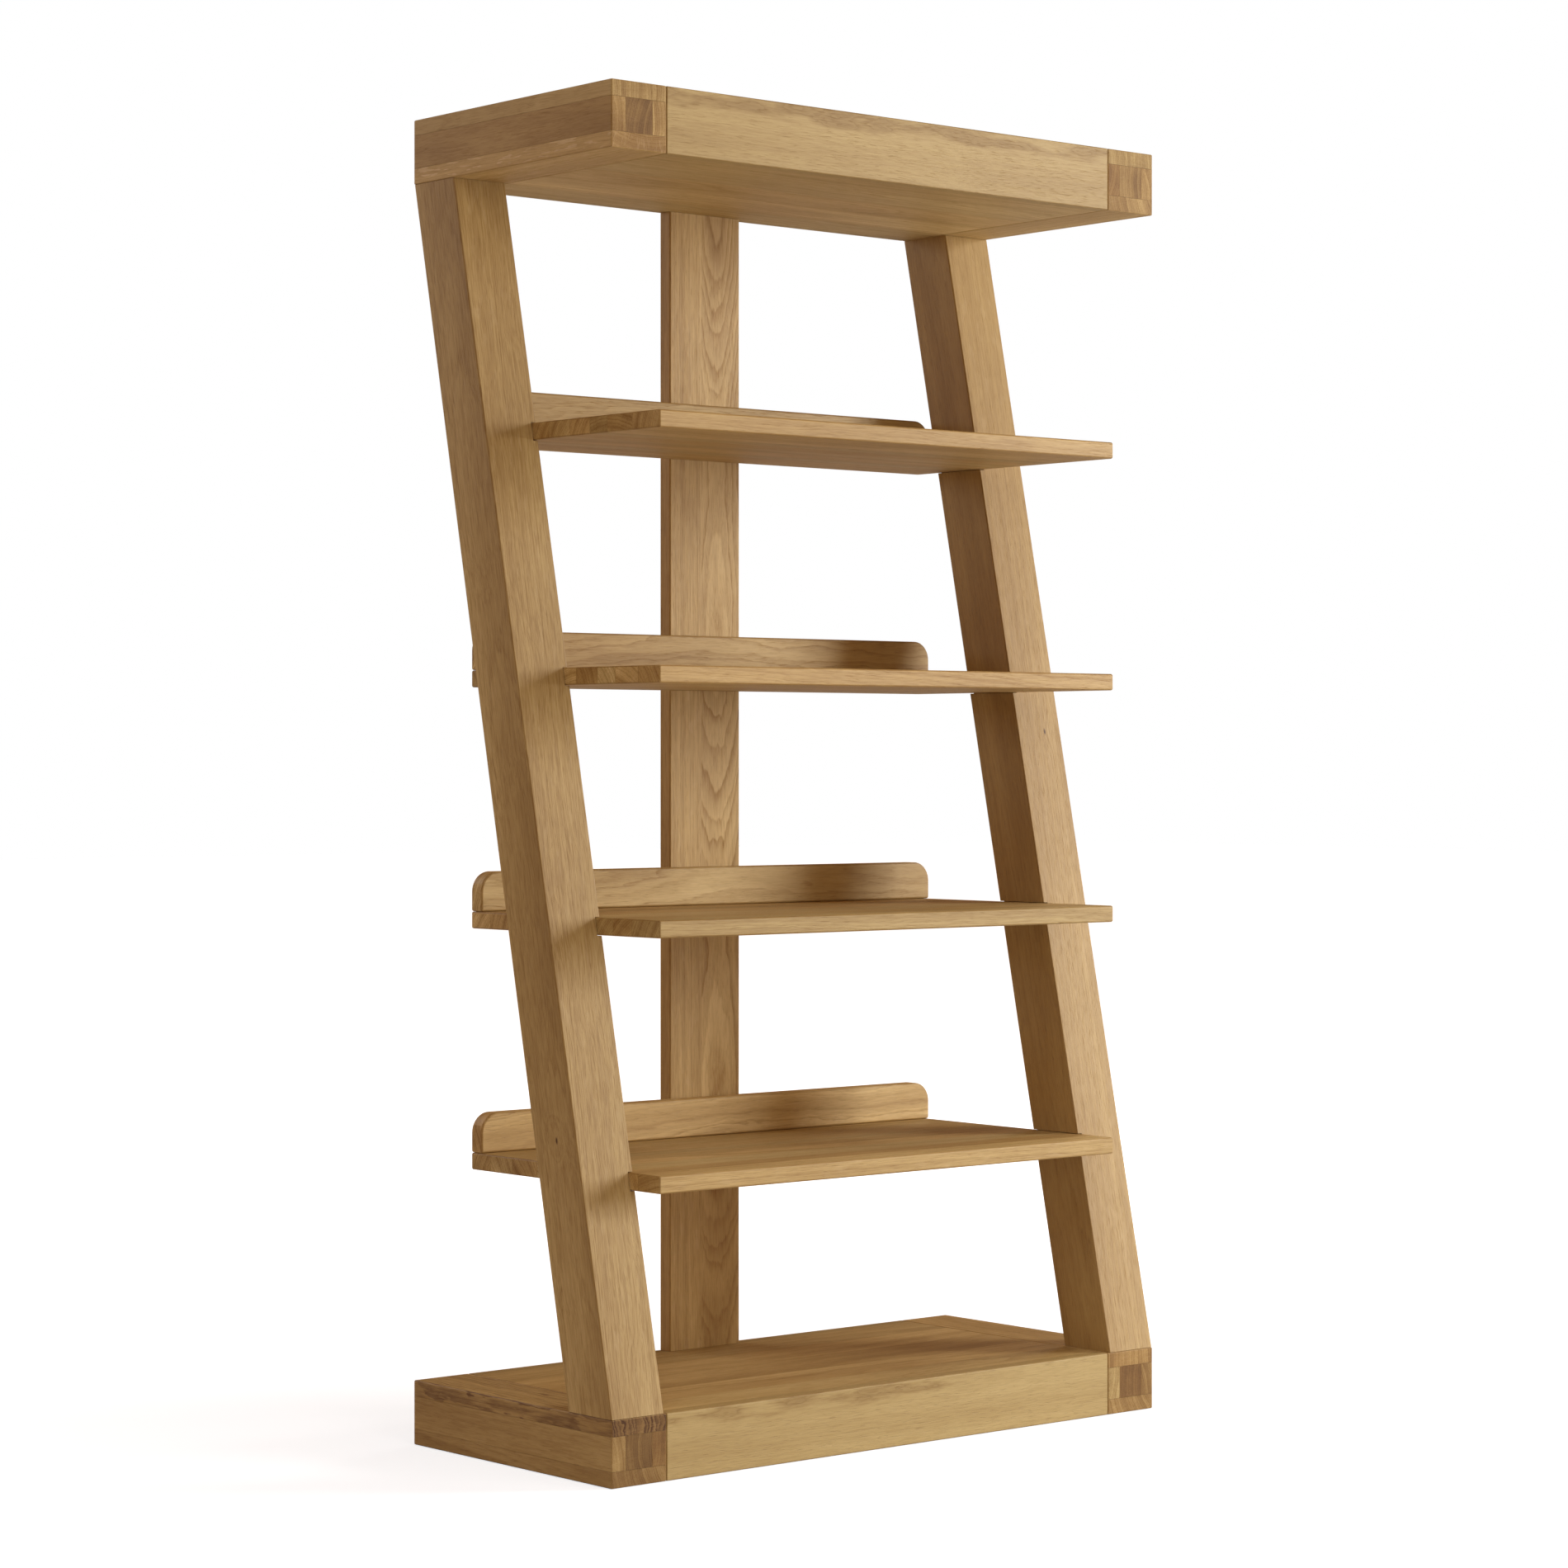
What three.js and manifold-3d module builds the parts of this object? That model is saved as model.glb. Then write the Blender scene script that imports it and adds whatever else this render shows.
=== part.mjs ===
// A ladder shelf in oak. A thick top slab and a thick base slab are held apart by a leaning leg at
// each side and by a flat rear post. Four shelves are housed in the legs and screwed to the post,
// and each shelf carries a low backboard with rounded upper corners. Nothing on it moves.
//
// Millimetres. +X is to the right as seen from the front, +Y to the back, +Z up. The origin is on
// the floor, under the middle of the base slab.
import * as THREE from "three";
import { mergeVertices } from "three/addons/utils/BufferGeometryUtils.js";
import Module from "manifold-3d";

// Overall sizes.
const WIDTH = 1010;
const DEPTH = 450;
const HEIGHT = 1850;

// Slabs: facing boards and rails round a hollow, between two end beams glued up from staves.
const SLAB_THICKNESS = 90;
const FACING_THICKNESS = 22;
const RAIL_THICKNESS = 22;
const OUTER_STAVE_WIDTH = 23.5;
const CORE_STAVE_WIDTH = 45;
const INNER_STAVE_WIDTH = 24;

// Legs: width across the shelf, and depth square to the leg's own length.
const LEG_WIDTH = 88;
const LEG_DEPTH = 92;

// Rear post: two staves side by side, from left to right.
const POST_STAVE_WIDTHS = [59, 73];
const POST_THICKNESS = 24;

// Shelves and their backboards.
const SHELF_COUNT = 4;
const SHELF_THICKNESS = 24;
const HOUSING_DEPTH = 8;
const BACKBOARD_HEIGHT = 56;
const BACKBOARD_THICKNESS = 25;
const BACKBOARD_CORNER_RADIUS = 28;

// Dowels and screws.
const LEG_DOWEL = { radius: 6, length: 60, chamfer: 1.5 };
const LEG_DOWEL_SPACING = 44;
const POST_DOWEL = { radius: 4, length: 50, chamfer: 1 };
const SCREW = { length: 60, shankRadius: 2.5, headRadius: 4.8, headHeight: 3, tipLength: 7 };
const SCREW_HEAD_DEPTH = 0.6;

// Fits and edges.
const JOINT_GAP = 0.3;
const FLUSH_INSET = 0.5;
const SLAB_EDGE = 2;
const LEG_EDGE = 2;
const BOARD_EDGE = 2.5;
const ROUND_SEGMENTS = 12;
const CORNER_SEGMENTS = 8;

// Heights that follow from the sizes above.
const BASE_TOP = SLAB_THICKNESS;
const TOP_UNDERSIDE = HEIGHT - SLAB_THICKNESS;
const CLEAR_HEIGHT = TOP_UNDERSIDE - BASE_TOP;
const MIDDLE_HEIGHT = (TOP_UNDERSIDE + BASE_TOP) / 2;
const SHELF_PITCH = (CLEAR_HEIGHT + SHELF_THICKNESS) / (SHELF_COUNT + 1);

// Depths: what stands between the slabs is set in a little from their front and back faces.
const FRONT = -DEPTH / 2 + FLUSH_INSET;
const BACK = DEPTH / 2 - FLUSH_INSET;
const POST_FRONT = BACK - POST_THICKNESS;
const SHELF_BACK = POST_FRONT - JOINT_GAP;

// A leg's foot is flush with the front and its head with the back: lean is the angle from upright
// at which run * cos(lean) - CLEAR_HEIGHT * sin(lean) equals the leg's depth.
const RUN = BACK - FRONT;
const LEAN = Math.acos(LEG_DEPTH / Math.hypot(RUN, CLEAR_HEIGHT)) - Math.atan2(CLEAR_HEIGHT, RUN);
const LEG_FOOTPRINT = LEG_DEPTH / Math.cos(LEAN);
const LEG_END_Y = BACK - LEG_FOOTPRINT / 2;

// Distances from the middle to a leg and to what is housed in it.
const LEG_OUTSIDE = WIDTH / 2 - FLUSH_INSET;
const LEG_CENTRE = LEG_OUTSIDE - LEG_WIDTH / 2;
const LEG_INSIDE = LEG_OUTSIDE - LEG_WIDTH;
const SHELF_HALF_LENGTH = LEG_INSIDE + HOUSING_DEPTH - JOINT_GAP;

const SIDES = { left: -1, right: 1 };
const WHOLE_DEPTH = [-DEPTH / 2, DEPTH / 2];

const TONES = {
  pale: 0xd3b585,
  honey: 0xc2a06c,
  tan: 0xae8653,
  brown: 0x8c6236,
  umber: 0x6c4624,
  beech: 0xd9b98f,
};
const STAVE_TONES = {
  top_left: { upper: "honey", lower: "honey", outer: "honey", core: "umber", inner: "pale" },
  top_right: { upper: "honey", lower: "pale", outer: "honey", core: "tan", inner: "brown" },
  base_left: { upper: "tan", lower: "brown", outer: "pale", core: "brown", inner: "umber" },
  base_right: { upper: "honey", lower: "honey", outer: "tan", core: "brown", inner: "pale" },
};

const wasm = await Module();
wasm.setup();

const wood = (tone) =>
  new THREE.MeshStandardMaterial({ color: TONES[tone], roughness: 0.62, metalness: 0 });
const steel = () => new THREE.MeshStandardMaterial({ color: 0xb9bcbf, roughness: 0.35, metalness: 1 });

function named(name, geometry, finish) {
  const mesh = new THREE.Mesh(geometry, finish);
  mesh.name = name;
  return mesh;
}

// The solid that a closed geometry bounds, and the geometry of a solid.
function solidOf(geometry) {
  const bare = geometry.clone().deleteAttribute("normal").deleteAttribute("uv");
  const merged = mergeVertices(bare, 1e-4);
  return new wasm.Manifold(
    new wasm.Mesh({
      numProp: 3,
      vertProperties: new Float32Array(merged.attributes.position.array),
      triVerts: new Uint32Array(merged.index.array),
    }),
  );
}

function geometryOf(solid) {
  const { vertProperties, triVerts } = solid.getMesh();
  return new THREE.BufferGeometry()
    .setAttribute("position", new THREE.BufferAttribute(vertProperties, 3))
    .setIndex(new THREE.BufferAttribute(triVerts, 1))
    .toNonIndexed();
}

const cutAway = (solid, cutters) => cutters.reduce((left, cutter) => left.subtract(cutter), solid);

// Neighbouring spans of the given sizes from start, with a glue gap where two of them meet.
function layers(start, sizes) {
  let edge = start;
  return sizes.map((size, index) => {
    const low = edge + (index > 0 ? JOINT_GAP / 2 : 0);
    edge += size;
    return [low, edge - (index < sizes.length - 1 ? JOINT_GAP / 2 : 0)];
  });
}

const middle = ([low, high]) => (low + high) / 2;
const length = ([low, high]) => high - low;

// A box given by its spans { x, y, z }.
function boxGeometry({ x, y, z }) {
  return new THREE.BoxGeometry(length(x), length(y), length(z)).translate(middle(x), middle(y), middle(z));
}

// The same box with all twelve edges eased by a chamfer.
function easedBoxGeometry({ x, y, z }, edge) {
  const [w, d] = [length(x) / 2, length(y) / 2];
  const outline = new THREE.Shape(
    [
      [w - edge, -d],
      [w, edge - d],
      [w, d - edge],
      [w - edge, d],
      [edge - w, d],
      [-w, d - edge],
      [-w, edge - d],
      [edge - w, -d],
    ].map(([px, py]) => new THREE.Vector2(px, py)),
  );
  return extruded(outline, length(z), edge).translate(middle(x), middle(y), z[0]);
}

// An outline raised from height 0 to the given height, with its end edges eased.
function extruded(outline, height, edge) {
  return new THREE.ExtrudeGeometry(outline, {
    depth: height - 2 * edge,
    bevelThickness: edge,
    bevelSize: edge,
    bevelOffset: -edge,
    bevelSegments: 1,
    curveSegments: CORNER_SEGMENTS,
  }).translate(0, 0, edge);
}

const turned = (profile) =>
  new THREE.LatheGeometry(
    profile.map(([r, along]) => new THREE.Vector2(r, along)),
    ROUND_SEGMENTS,
  );

// A dowel along Z, centred on the origin. With a clearance it is the hole for that dowel.
function dowelGeometry({ radius, length: long, chamfer }, clearance = 0) {
  const r = radius + clearance;
  const end = long / 2 + clearance;
  return turned([
    [0, -end],
    [r - chamfer, -end],
    [r, chamfer - end],
    [r, end - chamfer],
    [r - chamfer, end],
    [0, end],
  ]).rotateX(Math.PI / 2);
}

// The outline of a countersunk screw along Y, from its point at the front to the rim of its head at
// y = 0, and the screw and its hole made from it. The hole runs on to the post's back face.
const screwOutline = (clearance) => [
  [0, -SCREW.length - clearance],
  [SCREW.shankRadius + clearance, SCREW.tipLength - SCREW.length],
  [SCREW.shankRadius + clearance, -SCREW.headHeight - clearance],
  [SCREW.headRadius + clearance, -clearance],
];
const screwGeometry = () => turned([...screwOutline(0), [0, 0]]);
const screwHoleGeometry = () => {
  const mouth = SCREW_HEAD_DEPTH + JOINT_GAP;
  return turned([...screwOutline(JOINT_GAP), [SCREW.headRadius + JOINT_GAP, mouth], [0, mouth]]);
};

// Where every dowel sits: its middle is in the plane where a leg or the post meets a slab.
function dowelPlaces() {
  const places = [];
  for (const [end, plane, legY] of [
    ["base", BASE_TOP, -LEG_END_Y],
    ["top", TOP_UNDERSIDE, LEG_END_Y],
  ]) {
    for (const [side, sign] of Object.entries(SIDES))
      for (const [row, step] of [["front", -1], ["back", 1]])
        places.push({
          name: `${end}_${side}_leg_dowel_${row}`,
          at: [sign * LEG_CENTRE, legY + (step * LEG_DOWEL_SPACING) / 2, plane],
          dowel: LEG_DOWEL,
        });
    postStaves().forEach(({ side, x }) =>
      places.push({
        name: `${end}_post_dowel_${side}`,
        at: [middle(x), POST_FRONT + POST_THICKNESS / 2, plane],
        dowel: POST_DOWEL,
      }),
    );
  }
  return places;
}

function postStaves() {
  const width = POST_STAVE_WIDTHS.reduce((sum, stave) => sum + stave, 0);
  const spans = layers(-width / 2, POST_STAVE_WIDTHS);
  return [
    { side: "left", x: spans[0], tone: "honey" },
    { side: "right", x: spans[1], tone: "tan" },
  ];
}

// The shelves from the top down, with the place of each one's screws in the post's back face.
function shelfPlaces() {
  return Array.from({ length: SHELF_COUNT }, (_, index) => {
    const top = TOP_UNDERSIDE - (index + 1) * SHELF_PITCH;
    return {
      number: index + 1,
      top,
      screws: postStaves().map(({ side, x }) => ({
        name: `shelf_${index + 1}_screw_${side}`,
        at: [middle(x), BACK - SCREW_HEAD_DEPTH, top - SHELF_THICKNESS / 2],
      })),
    };
  });
}

const dowels = dowelPlaces();
const shelves = shelfPlaces();
const dowelHoles = dowels.map(({ at, dowel }) => solidOf(dowelGeometry(dowel, JOINT_GAP).translate(...at)));
const screwHoles = shelves.flatMap(({ screws }) =>
  screws.map(({ at }) => solidOf(screwHoleGeometry().translate(...at))),
);

// One slab from its pieces. Each sub-assembly is cut out of a box with eased outer edges, so that the
// edges are eased where the slab is touched and stay square along the glue lines.
function slab(end, floor) {
  const group = new THREE.Group();
  const beam = [OUTER_STAVE_WIDTH, CORE_STAVE_WIDTH, INNER_STAVE_WIDTH];
  const panelLength = WIDTH - 2 * beam.reduce((sum, stave) => sum + stave, 0);
  const [leftOuter, leftCore, leftInner, panel, rightInner, rightCore, rightOuter] = layers(-WIDTH / 2, [
    ...beam,
    panelLength,
    ...beam.toReversed(),
  ]);
  const fieldDepth = DEPTH - 2 * RAIL_THICKNESS;
  const [front, field, back] = layers(-DEPTH / 2, [RAIL_THICKNESS, fieldDepth, RAIL_THICKNESS]);
  const height = [floor, floor + SLAB_THICKNESS];
  const [lower, core, upper] = layers(floor, [
    FACING_THICKNESS,
    SLAB_THICKNESS - 2 * FACING_THICKNESS,
    FACING_THICKNESS,
  ]);

  const glueUp = (x, pieces) => {
    const blank = solidOf(easedBoxGeometry({ x, y: WHOLE_DEPTH, z: height }, SLAB_EDGE));
    for (const [name, spans, tone] of pieces) {
      const piece = cutAway(blank.intersect(solidOf(boxGeometry(spans))), dowelHoles);
      group.add(named(`${end}_${name}`, geometryOf(piece), wood(tone)));
    }
  };

  glueUp(panel, [
    ["front_rail", { x: panel, y: front, z: height }, "honey"],
    ["back_rail", { x: panel, y: back, z: height }, "honey"],
    ["upper_board", { x: panel, y: field, z: upper }, "tan"],
    ["lower_board", { x: panel, y: field, z: lower }, "tan"],
  ]);
  for (const [side, outer, middleStave, inner] of [
    ["left", leftOuter, leftCore, leftInner],
    ["right", rightOuter, rightCore, rightInner],
  ]) {
    const x = [Math.min(outer[0], inner[0]), Math.max(outer[1], inner[1])];
    const tones = STAVE_TONES[`${end}_${side}`];
    glueUp(x, [
      [`${side}_upper_stave`, { x, y: WHOLE_DEPTH, z: upper }, tones.upper],
      [`${side}_lower_stave`, { x, y: WHOLE_DEPTH, z: lower }, tones.lower],
      [`${side}_outer_stave`, { x: outer, y: WHOLE_DEPTH, z: core }, tones.outer],
      [`${side}_core_stave`, { x: middleStave, y: WHOLE_DEPTH, z: core }, tones.core],
      [`${side}_inner_stave`, { x: inner, y: WHOLE_DEPTH, z: core }, tones.inner],
    ]);
  }
  return group;
}

// A leg: a square timber at its lean, sawn level at both ends, with a housing for each board that
// reaches into its inner face, and holes for its dowels.
function leg(side) {
  const centre = SIDES[side] * LEG_CENTRE;
  const half = Math.hypot(RUN, CLEAR_HEIGHT);
  const timber = easedBoxGeometry(
    { x: [-LEG_WIDTH / 2, LEG_WIDTH / 2], y: [-LEG_DEPTH / 2, LEG_DEPTH / 2], z: [-half, half] },
    LEG_EDGE,
  )
    .rotateX(-LEAN)
    .translate(centre, 0, MIDDLE_HEIGHT);
  const between = boxGeometry({
    x: [centre - LEG_WIDTH, centre + LEG_WIDTH],
    y: [-DEPTH, DEPTH],
    z: [BASE_TOP + JOINT_GAP, TOP_UNDERSIDE - JOINT_GAP],
  });
  const housings = shelves.flatMap(({ top }) =>
    [shelfSpans(top), backboardSpans(top)].map((spans) => solidOf(boxGeometry(grown(spans, JOINT_GAP)))),
  );
  const solid = cutAway(solidOf(timber).intersect(solidOf(between)), [...housings, ...dowelHoles]);
  return named(`${side}_leg`, geometryOf(solid), wood("honey"));
}

const grown = (spans, by) =>
  Object.fromEntries(Object.entries(spans).map(([axis, [low, high]]) => [axis, [low - by, high + by]]));

const shelfSpans = (top) => ({
  x: [-SHELF_HALF_LENGTH, SHELF_HALF_LENGTH],
  y: [FRONT, SHELF_BACK],
  z: [top - SHELF_THICKNESS, top],
});

const backboardSpans = (top) => ({
  x: [-SHELF_HALF_LENGTH, SHELF_HALF_LENGTH],
  y: [SHELF_BACK - BACKBOARD_THICKNESS, SHELF_BACK],
  z: [top + JOINT_GAP, top + BACKBOARD_HEIGHT],
});

// The post's outer edges are eased over its whole length, and its ends are sawn square.
function rearPost() {
  const group = new THREE.Group();
  const staves = postStaves();
  const across = [staves.at(0).x[0], staves.at(-1).x[1]];
  const blank = solidOf(easedBoxGeometry({ x: across, y: [POST_FRONT, BACK], z: [0, HEIGHT] }, BOARD_EDGE));
  for (const { side, x, tone } of staves) {
    const spans = { x, y: [POST_FRONT, BACK], z: [BASE_TOP + JOINT_GAP, TOP_UNDERSIDE - JOINT_GAP] };
    const stave = cutAway(blank.intersect(solidOf(boxGeometry(spans))), [...dowelHoles, ...screwHoles]);
    group.add(named(`rear_post_${side}_stave`, geometryOf(stave), wood(tone)));
  }
  return group;
}

function shelf({ number, top }) {
  const board = solidOf(easedBoxGeometry(shelfSpans(top), BOARD_EDGE));
  return named(`shelf_${number}`, geometryOf(cutAway(board, screwHoles)), wood("honey"));
}

// A backboard: its outline, seen from the front, is square at the foot and round at the upper corners.
function backboard({ number, top }) {
  const { x, y, z } = backboardSpans(top);
  const radius = BACKBOARD_CORNER_RADIUS;
  const height = length(z);
  const outline = new THREE.Shape()
    .moveTo(x[0], 0)
    .lineTo(x[1], 0)
    .lineTo(x[1], height - radius)
    .absarc(x[1] - radius, height - radius, radius, 0, Math.PI / 2)
    .lineTo(x[0] + radius, height)
    .absarc(x[0] + radius, height - radius, radius, Math.PI / 2, Math.PI);
  const board = named(`backboard_${number}`, extruded(outline, length(y), BOARD_EDGE), wood("honey"));
  board.rotation.x = Math.PI / 2;
  board.position.set(0, y[1], z[0]);
  return board;
}

function dowel({ name, at, dowel: size }) {
  const pin = named(name, dowelGeometry(size), wood("beech"));
  pin.position.set(...at);
  return pin;
}

function screw({ name, at }) {
  const fastener = named(name, screwGeometry(), steel());
  fastener.position.set(...at);
  return fastener;
}

const ladderShelf = new THREE.Group();
ladderShelf.add(
  slab("base", 0),
  slab("top", TOP_UNDERSIDE),
  leg("left"),
  leg("right"),
  rearPost(),
  ...shelves.flatMap((place) => [shelf(place), backboard(place)]),
  ...dowels.map(dowel),
  ...shelves.flatMap(({ screws }) => screws.map(screw)),
);

export default ladderShelf;
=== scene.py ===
"""Ladder shelf in oiled oak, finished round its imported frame.

Every board, stave, leg and screw is modelled again at the place and size of its node, with
rounded edges, glue lines and its own piece of timber, and stands for that node. Metres, +Z up,
-Y to the front.
"""

import logging
import math
import random
from contextlib import contextmanager
from dataclasses import dataclass, field, replace
from enum import Enum
from typing import Callable, Iterator, Optional, Sequence, Union

import bmesh
import bpy
import numpy as np
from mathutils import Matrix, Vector


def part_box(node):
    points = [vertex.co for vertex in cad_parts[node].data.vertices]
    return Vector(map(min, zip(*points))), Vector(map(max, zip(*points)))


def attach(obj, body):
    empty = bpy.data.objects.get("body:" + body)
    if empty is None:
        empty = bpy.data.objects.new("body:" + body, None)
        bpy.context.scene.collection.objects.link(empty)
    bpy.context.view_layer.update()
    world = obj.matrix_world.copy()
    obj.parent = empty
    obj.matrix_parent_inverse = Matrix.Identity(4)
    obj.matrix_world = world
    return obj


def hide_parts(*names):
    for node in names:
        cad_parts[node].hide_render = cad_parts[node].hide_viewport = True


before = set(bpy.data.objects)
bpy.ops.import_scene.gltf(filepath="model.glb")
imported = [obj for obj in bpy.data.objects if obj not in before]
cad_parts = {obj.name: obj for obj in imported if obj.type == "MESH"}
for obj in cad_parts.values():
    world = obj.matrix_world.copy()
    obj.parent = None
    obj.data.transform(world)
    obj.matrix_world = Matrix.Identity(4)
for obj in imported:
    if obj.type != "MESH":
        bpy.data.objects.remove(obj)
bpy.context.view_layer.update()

BODY = "root"
NEAR = 1e-5
PARALLEL = 0.9
SHELF_NUMBERS = (1, 2, 3, 4)

PLACE = "oak_place"
TONE = "oak_tone"
EASED = "oak_eased"

log = logging.getLogger("ladder_shelf")

Socket = bpy.types.NodeSocket
Value = Union[Socket, float, Sequence[float]]
Colour = tuple[float, float, float, float]

FIGURE = ("Ring Band", "Heart", "Knot", "Growth", "Streak", "Fleck", "Pore", "Ray", "Mottle")
RAY_COLOUR: Colour = (0.63, 0.47, 0.23, 1)
PORE_COLOUR: Colour = (0.235, 0.125, 0.036, 1)
KNOT_COLOUR: Colour = (0.110, 0.052, 0.018, 1)

# How often each part of the figure repeats in a metre: along the grain, out and round the log.
WANDER_RATES = (1.7, 5.0, 5.0)
JAG_RATES = (12, 60, 60)
RIPPLE_RATES = (34, 170, 170)
SWAY_RATES = (7.0, 14, 14)
STREAK_RATES = (9, 210, 210)
FLECK_RATES = (26, 600, 600)
PORE_RATES = (55, 1250, 1250)
RAY_RATES = (30, 46, 85)
MOTTLE_RATES = (2.6, 15, 15)
GROWTH_RATES = (68.0,)
YEAR_RATES = (0.37,)

# What the figure's parts measure, in metres, in years for a ring, or as a share of a mask.
RIPPLE = 0.0012
KNOT_STRETCH = 0.45
KNOT_EDGE = (0.0008, 0.0030)
KNOT_REACH = 0.022
KNOT_PUSH = 0.009
NO_KNOT = (0.0, 0.0, -9.0)
HEART_EDGE = (-0.0022, 0.0006)
YEAR_SPREAD = 2.4
FAINTEST_RING = 0.3
RING_RISE = 0.16
RING_FALL = 1.8
RING_GAIN = 1.35
PORE_EDGE = (0.56, 0.72)
PORE_OUTSIDE, PORE_IN_RING = 0.35, 0.75
RAY_EDGE = (0.56, 0.70)

# How strongly each part darkens, tints or dulls the wood.
FLECK_EDGE, FLECK_SHARE = (0.42, 0.66), 1.25
STREAK_EDGE, STREAK_SHARE = (0.38, 0.72), 0.70
PORE_SHARE = 0.62
HEART_RINGS = 2.4
MOTTLE_EDGE, MOTTLE_SHADE = (0.25, 0.75), (-0.12, 0.12)
GROWTH_EDGE, GROWTH_SHADE = (0.30, 0.70), (0.07, -0.09)
END_CLOUD = 0.8
HEART_SHADE = -0.19
# Rounded edges and glue-line grooves are darkened by this share: painted shade along the edges and in the
# grooves.
EDGE_PAINTED_SHADE = -0.20
WARMING, DEEPENING = 0.08, -0.07
GREEN_POWER, BLUE_POWER = 1.30, 1.75
BARE_ROUGHNESS, PORE_ROUGHNESS = 0.50, 0.22
RING_ROUGHNESS, END_ROUGHNESS, EASED_ROUGHNESS = 0.08, 0.12, -0.06
RING_RELIEF, PORE_RELIEF = -0.35, -0.8

# How far chance may take a board's cut, and a stave's width.
PITH_SHARES = (1.0, 1.9)
OFFSETS = (-0.012, 0.012)
TAPERS = (-0.03, 0.03)
SHIFTS = (0, 40)
REDNESSES = (-0.2, 0.4)
STAVE_SHARES = (0.75, 1.25)

# How square a face must be to the grain to be end grain, to an axis to be flat, and how far out
# of square a round board's face must be to belong to its rounded edge.
END_GRAIN = 0.9
FLAT = 0.965
ROUNDED = (0.05, 0.995)


# ---------------------------------------------------------------------------------------------
# Shader wiring
# ---------------------------------------------------------------------------------------------


class Wiring:
    """Adds nodes to one shader tree and links them, so that a material reads as formulas."""

    def __init__(self, tree: bpy.types.NodeTree) -> None:
        """Takes the material's, world's or group's tree that the nodes go in."""
        self.tree = tree

    def add(self, kind: str, **settings: object) -> bpy.types.Node:
        """Adds one node.

        Args:
            kind: the node's type name, such as ShaderNodeMath.
            settings: properties set on it.

        Returns:
            The node.
        """
        node = self.tree.nodes.new(kind)
        for name, value in settings.items():
            setattr(node, name, value)
        return node

    def feed(self, socket: Socket, value: Value) -> None:
        """Links a socket to an input, or sets the input's own value.

        Args:
            socket: the input.
            value: an output socket, a number, or a colour or vector.
        """
        if isinstance(value, bpy.types.NodeSocket):
            self.tree.links.new(value, socket)
        else:
            socket.default_value = value

    def math(self, operation: str, *values: Value, clamp: bool = False) -> Socket:
        """Adds a Math node.

        Args:
            operation: its operation.
            values: its inputs, in order.
            clamp: whether the result is held between 0 and 1.

        Returns:
            Its result.
        """
        node = self.add("ShaderNodeMath", operation=operation, use_clamp=clamp)
        for socket, value in zip(node.inputs, values):
            self.feed(socket, value)
        return node.outputs[0]

    def ramp(self, value: Value, low: float, high: float, start: float = 0.0, end: float = 1.0) -> Socket:
        """Eases a value from start at low to end at high.

        Args:
            value: the number that is mapped.
            low: where the ramp starts.
            high: where it ends.
            start: the result at low and before it.
            end: the result at high and past it.

        Returns:
            The mapped number.
        """
        node = self.add("ShaderNodeMapRange", interpolation_type="SMOOTHSTEP")
        for socket, number in zip(node.inputs, (value, low, high, start, end)):
            self.feed(socket, number)
        return node.outputs["Result"]

    def split(self, vector: Value) -> tuple[Socket, Socket, Socket]:
        """Takes a vector apart.

        Args:
            vector: the vector.

        Returns:
            Its three parts.
        """
        node = self.add("ShaderNodeSeparateXYZ")
        self.feed(node.inputs[0], vector)
        return node.outputs[0], node.outputs[1], node.outputs[2]

    def join(self, *parts: Value) -> Socket:
        """Puts a vector together.

        Args:
            parts: its three parts.

        Returns:
            The vector.
        """
        node = self.add("ShaderNodeCombineXYZ")
        for socket, part in zip(node.inputs, parts):
            self.feed(socket, part)
        return node.outputs[0]

    def noise(self, parts: Sequence[Value], rates: Sequence[float], detail: float = 1.0) -> Socket:
        """Reads smooth noise, which is about 0.5 on average.

        Args:
            parts: one number, or the three parts of a vector.
            rates: how many times the noise turns over in a metre, one for each part.
            detail: how many finer layers are added.

        Returns:
            The noise, from 0 to 1.
        """
        scaled = [self.math("MULTIPLY", part, rate) for part, rate in zip(parts, rates)]
        node = self.add("ShaderNodeTexNoise", noise_dimensions="3D" if len(scaled) == 3 else "1D")
        if len(scaled) == 3:
            self.feed(node.inputs["Vector"], self.join(*scaled))
        else:
            self.feed(node.inputs["W"], scaled[0])
        node.inputs["Scale"].default_value = 1.0
        node.inputs["Detail"].default_value = detail
        return node.outputs[0]

    def blend(self, factor: Value, first: Value, second: Value, kind: str = "MIX") -> Socket:
        """Mixes two colours.

        Args:
            factor: how much of the second one shows.
            first: the colour at 0.
            second: the colour at 1.
            kind: the blend type.

        Returns:
            The mixed colour.
        """
        node = self.add("ShaderNodeMix", data_type="RGBA", blend_type=kind)
        for name, value in (("Factor_Float", factor), ("A_Color", first), ("B_Color", second)):
            self.feed(next(s for s in node.inputs if s.identifier == name), value)
        return next(s for s in node.outputs if s.identifier == "Result_Color")

    def place_group(
        self, tree: bpy.types.NodeTree, values: dict[str, Value]
    ) -> bpy.types.bpy_prop_collection:
        """Places a node group.

        Args:
            tree: the group.
            values: a value for each of its inputs, by name.

        Returns:
            Its outputs.
        """
        node = self.add("ShaderNodeGroup", node_tree=tree)
        for name, value in values.items():
            self.feed(node.inputs[name], value)
        return node.outputs

    def bump(self, height: Value, depth: float) -> Socket:
        """Turns a relief into a normal.

        Args:
            height: the relief, from 0 to 1.
            depth: how many metres 1 stands above 0.

        Returns:
            The normal.
        """
        node = self.add("ShaderNodeBump")
        node.inputs["Distance"].default_value = depth
        self.feed(node.inputs["Height"], height)
        return node.outputs["Normal"]


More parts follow.
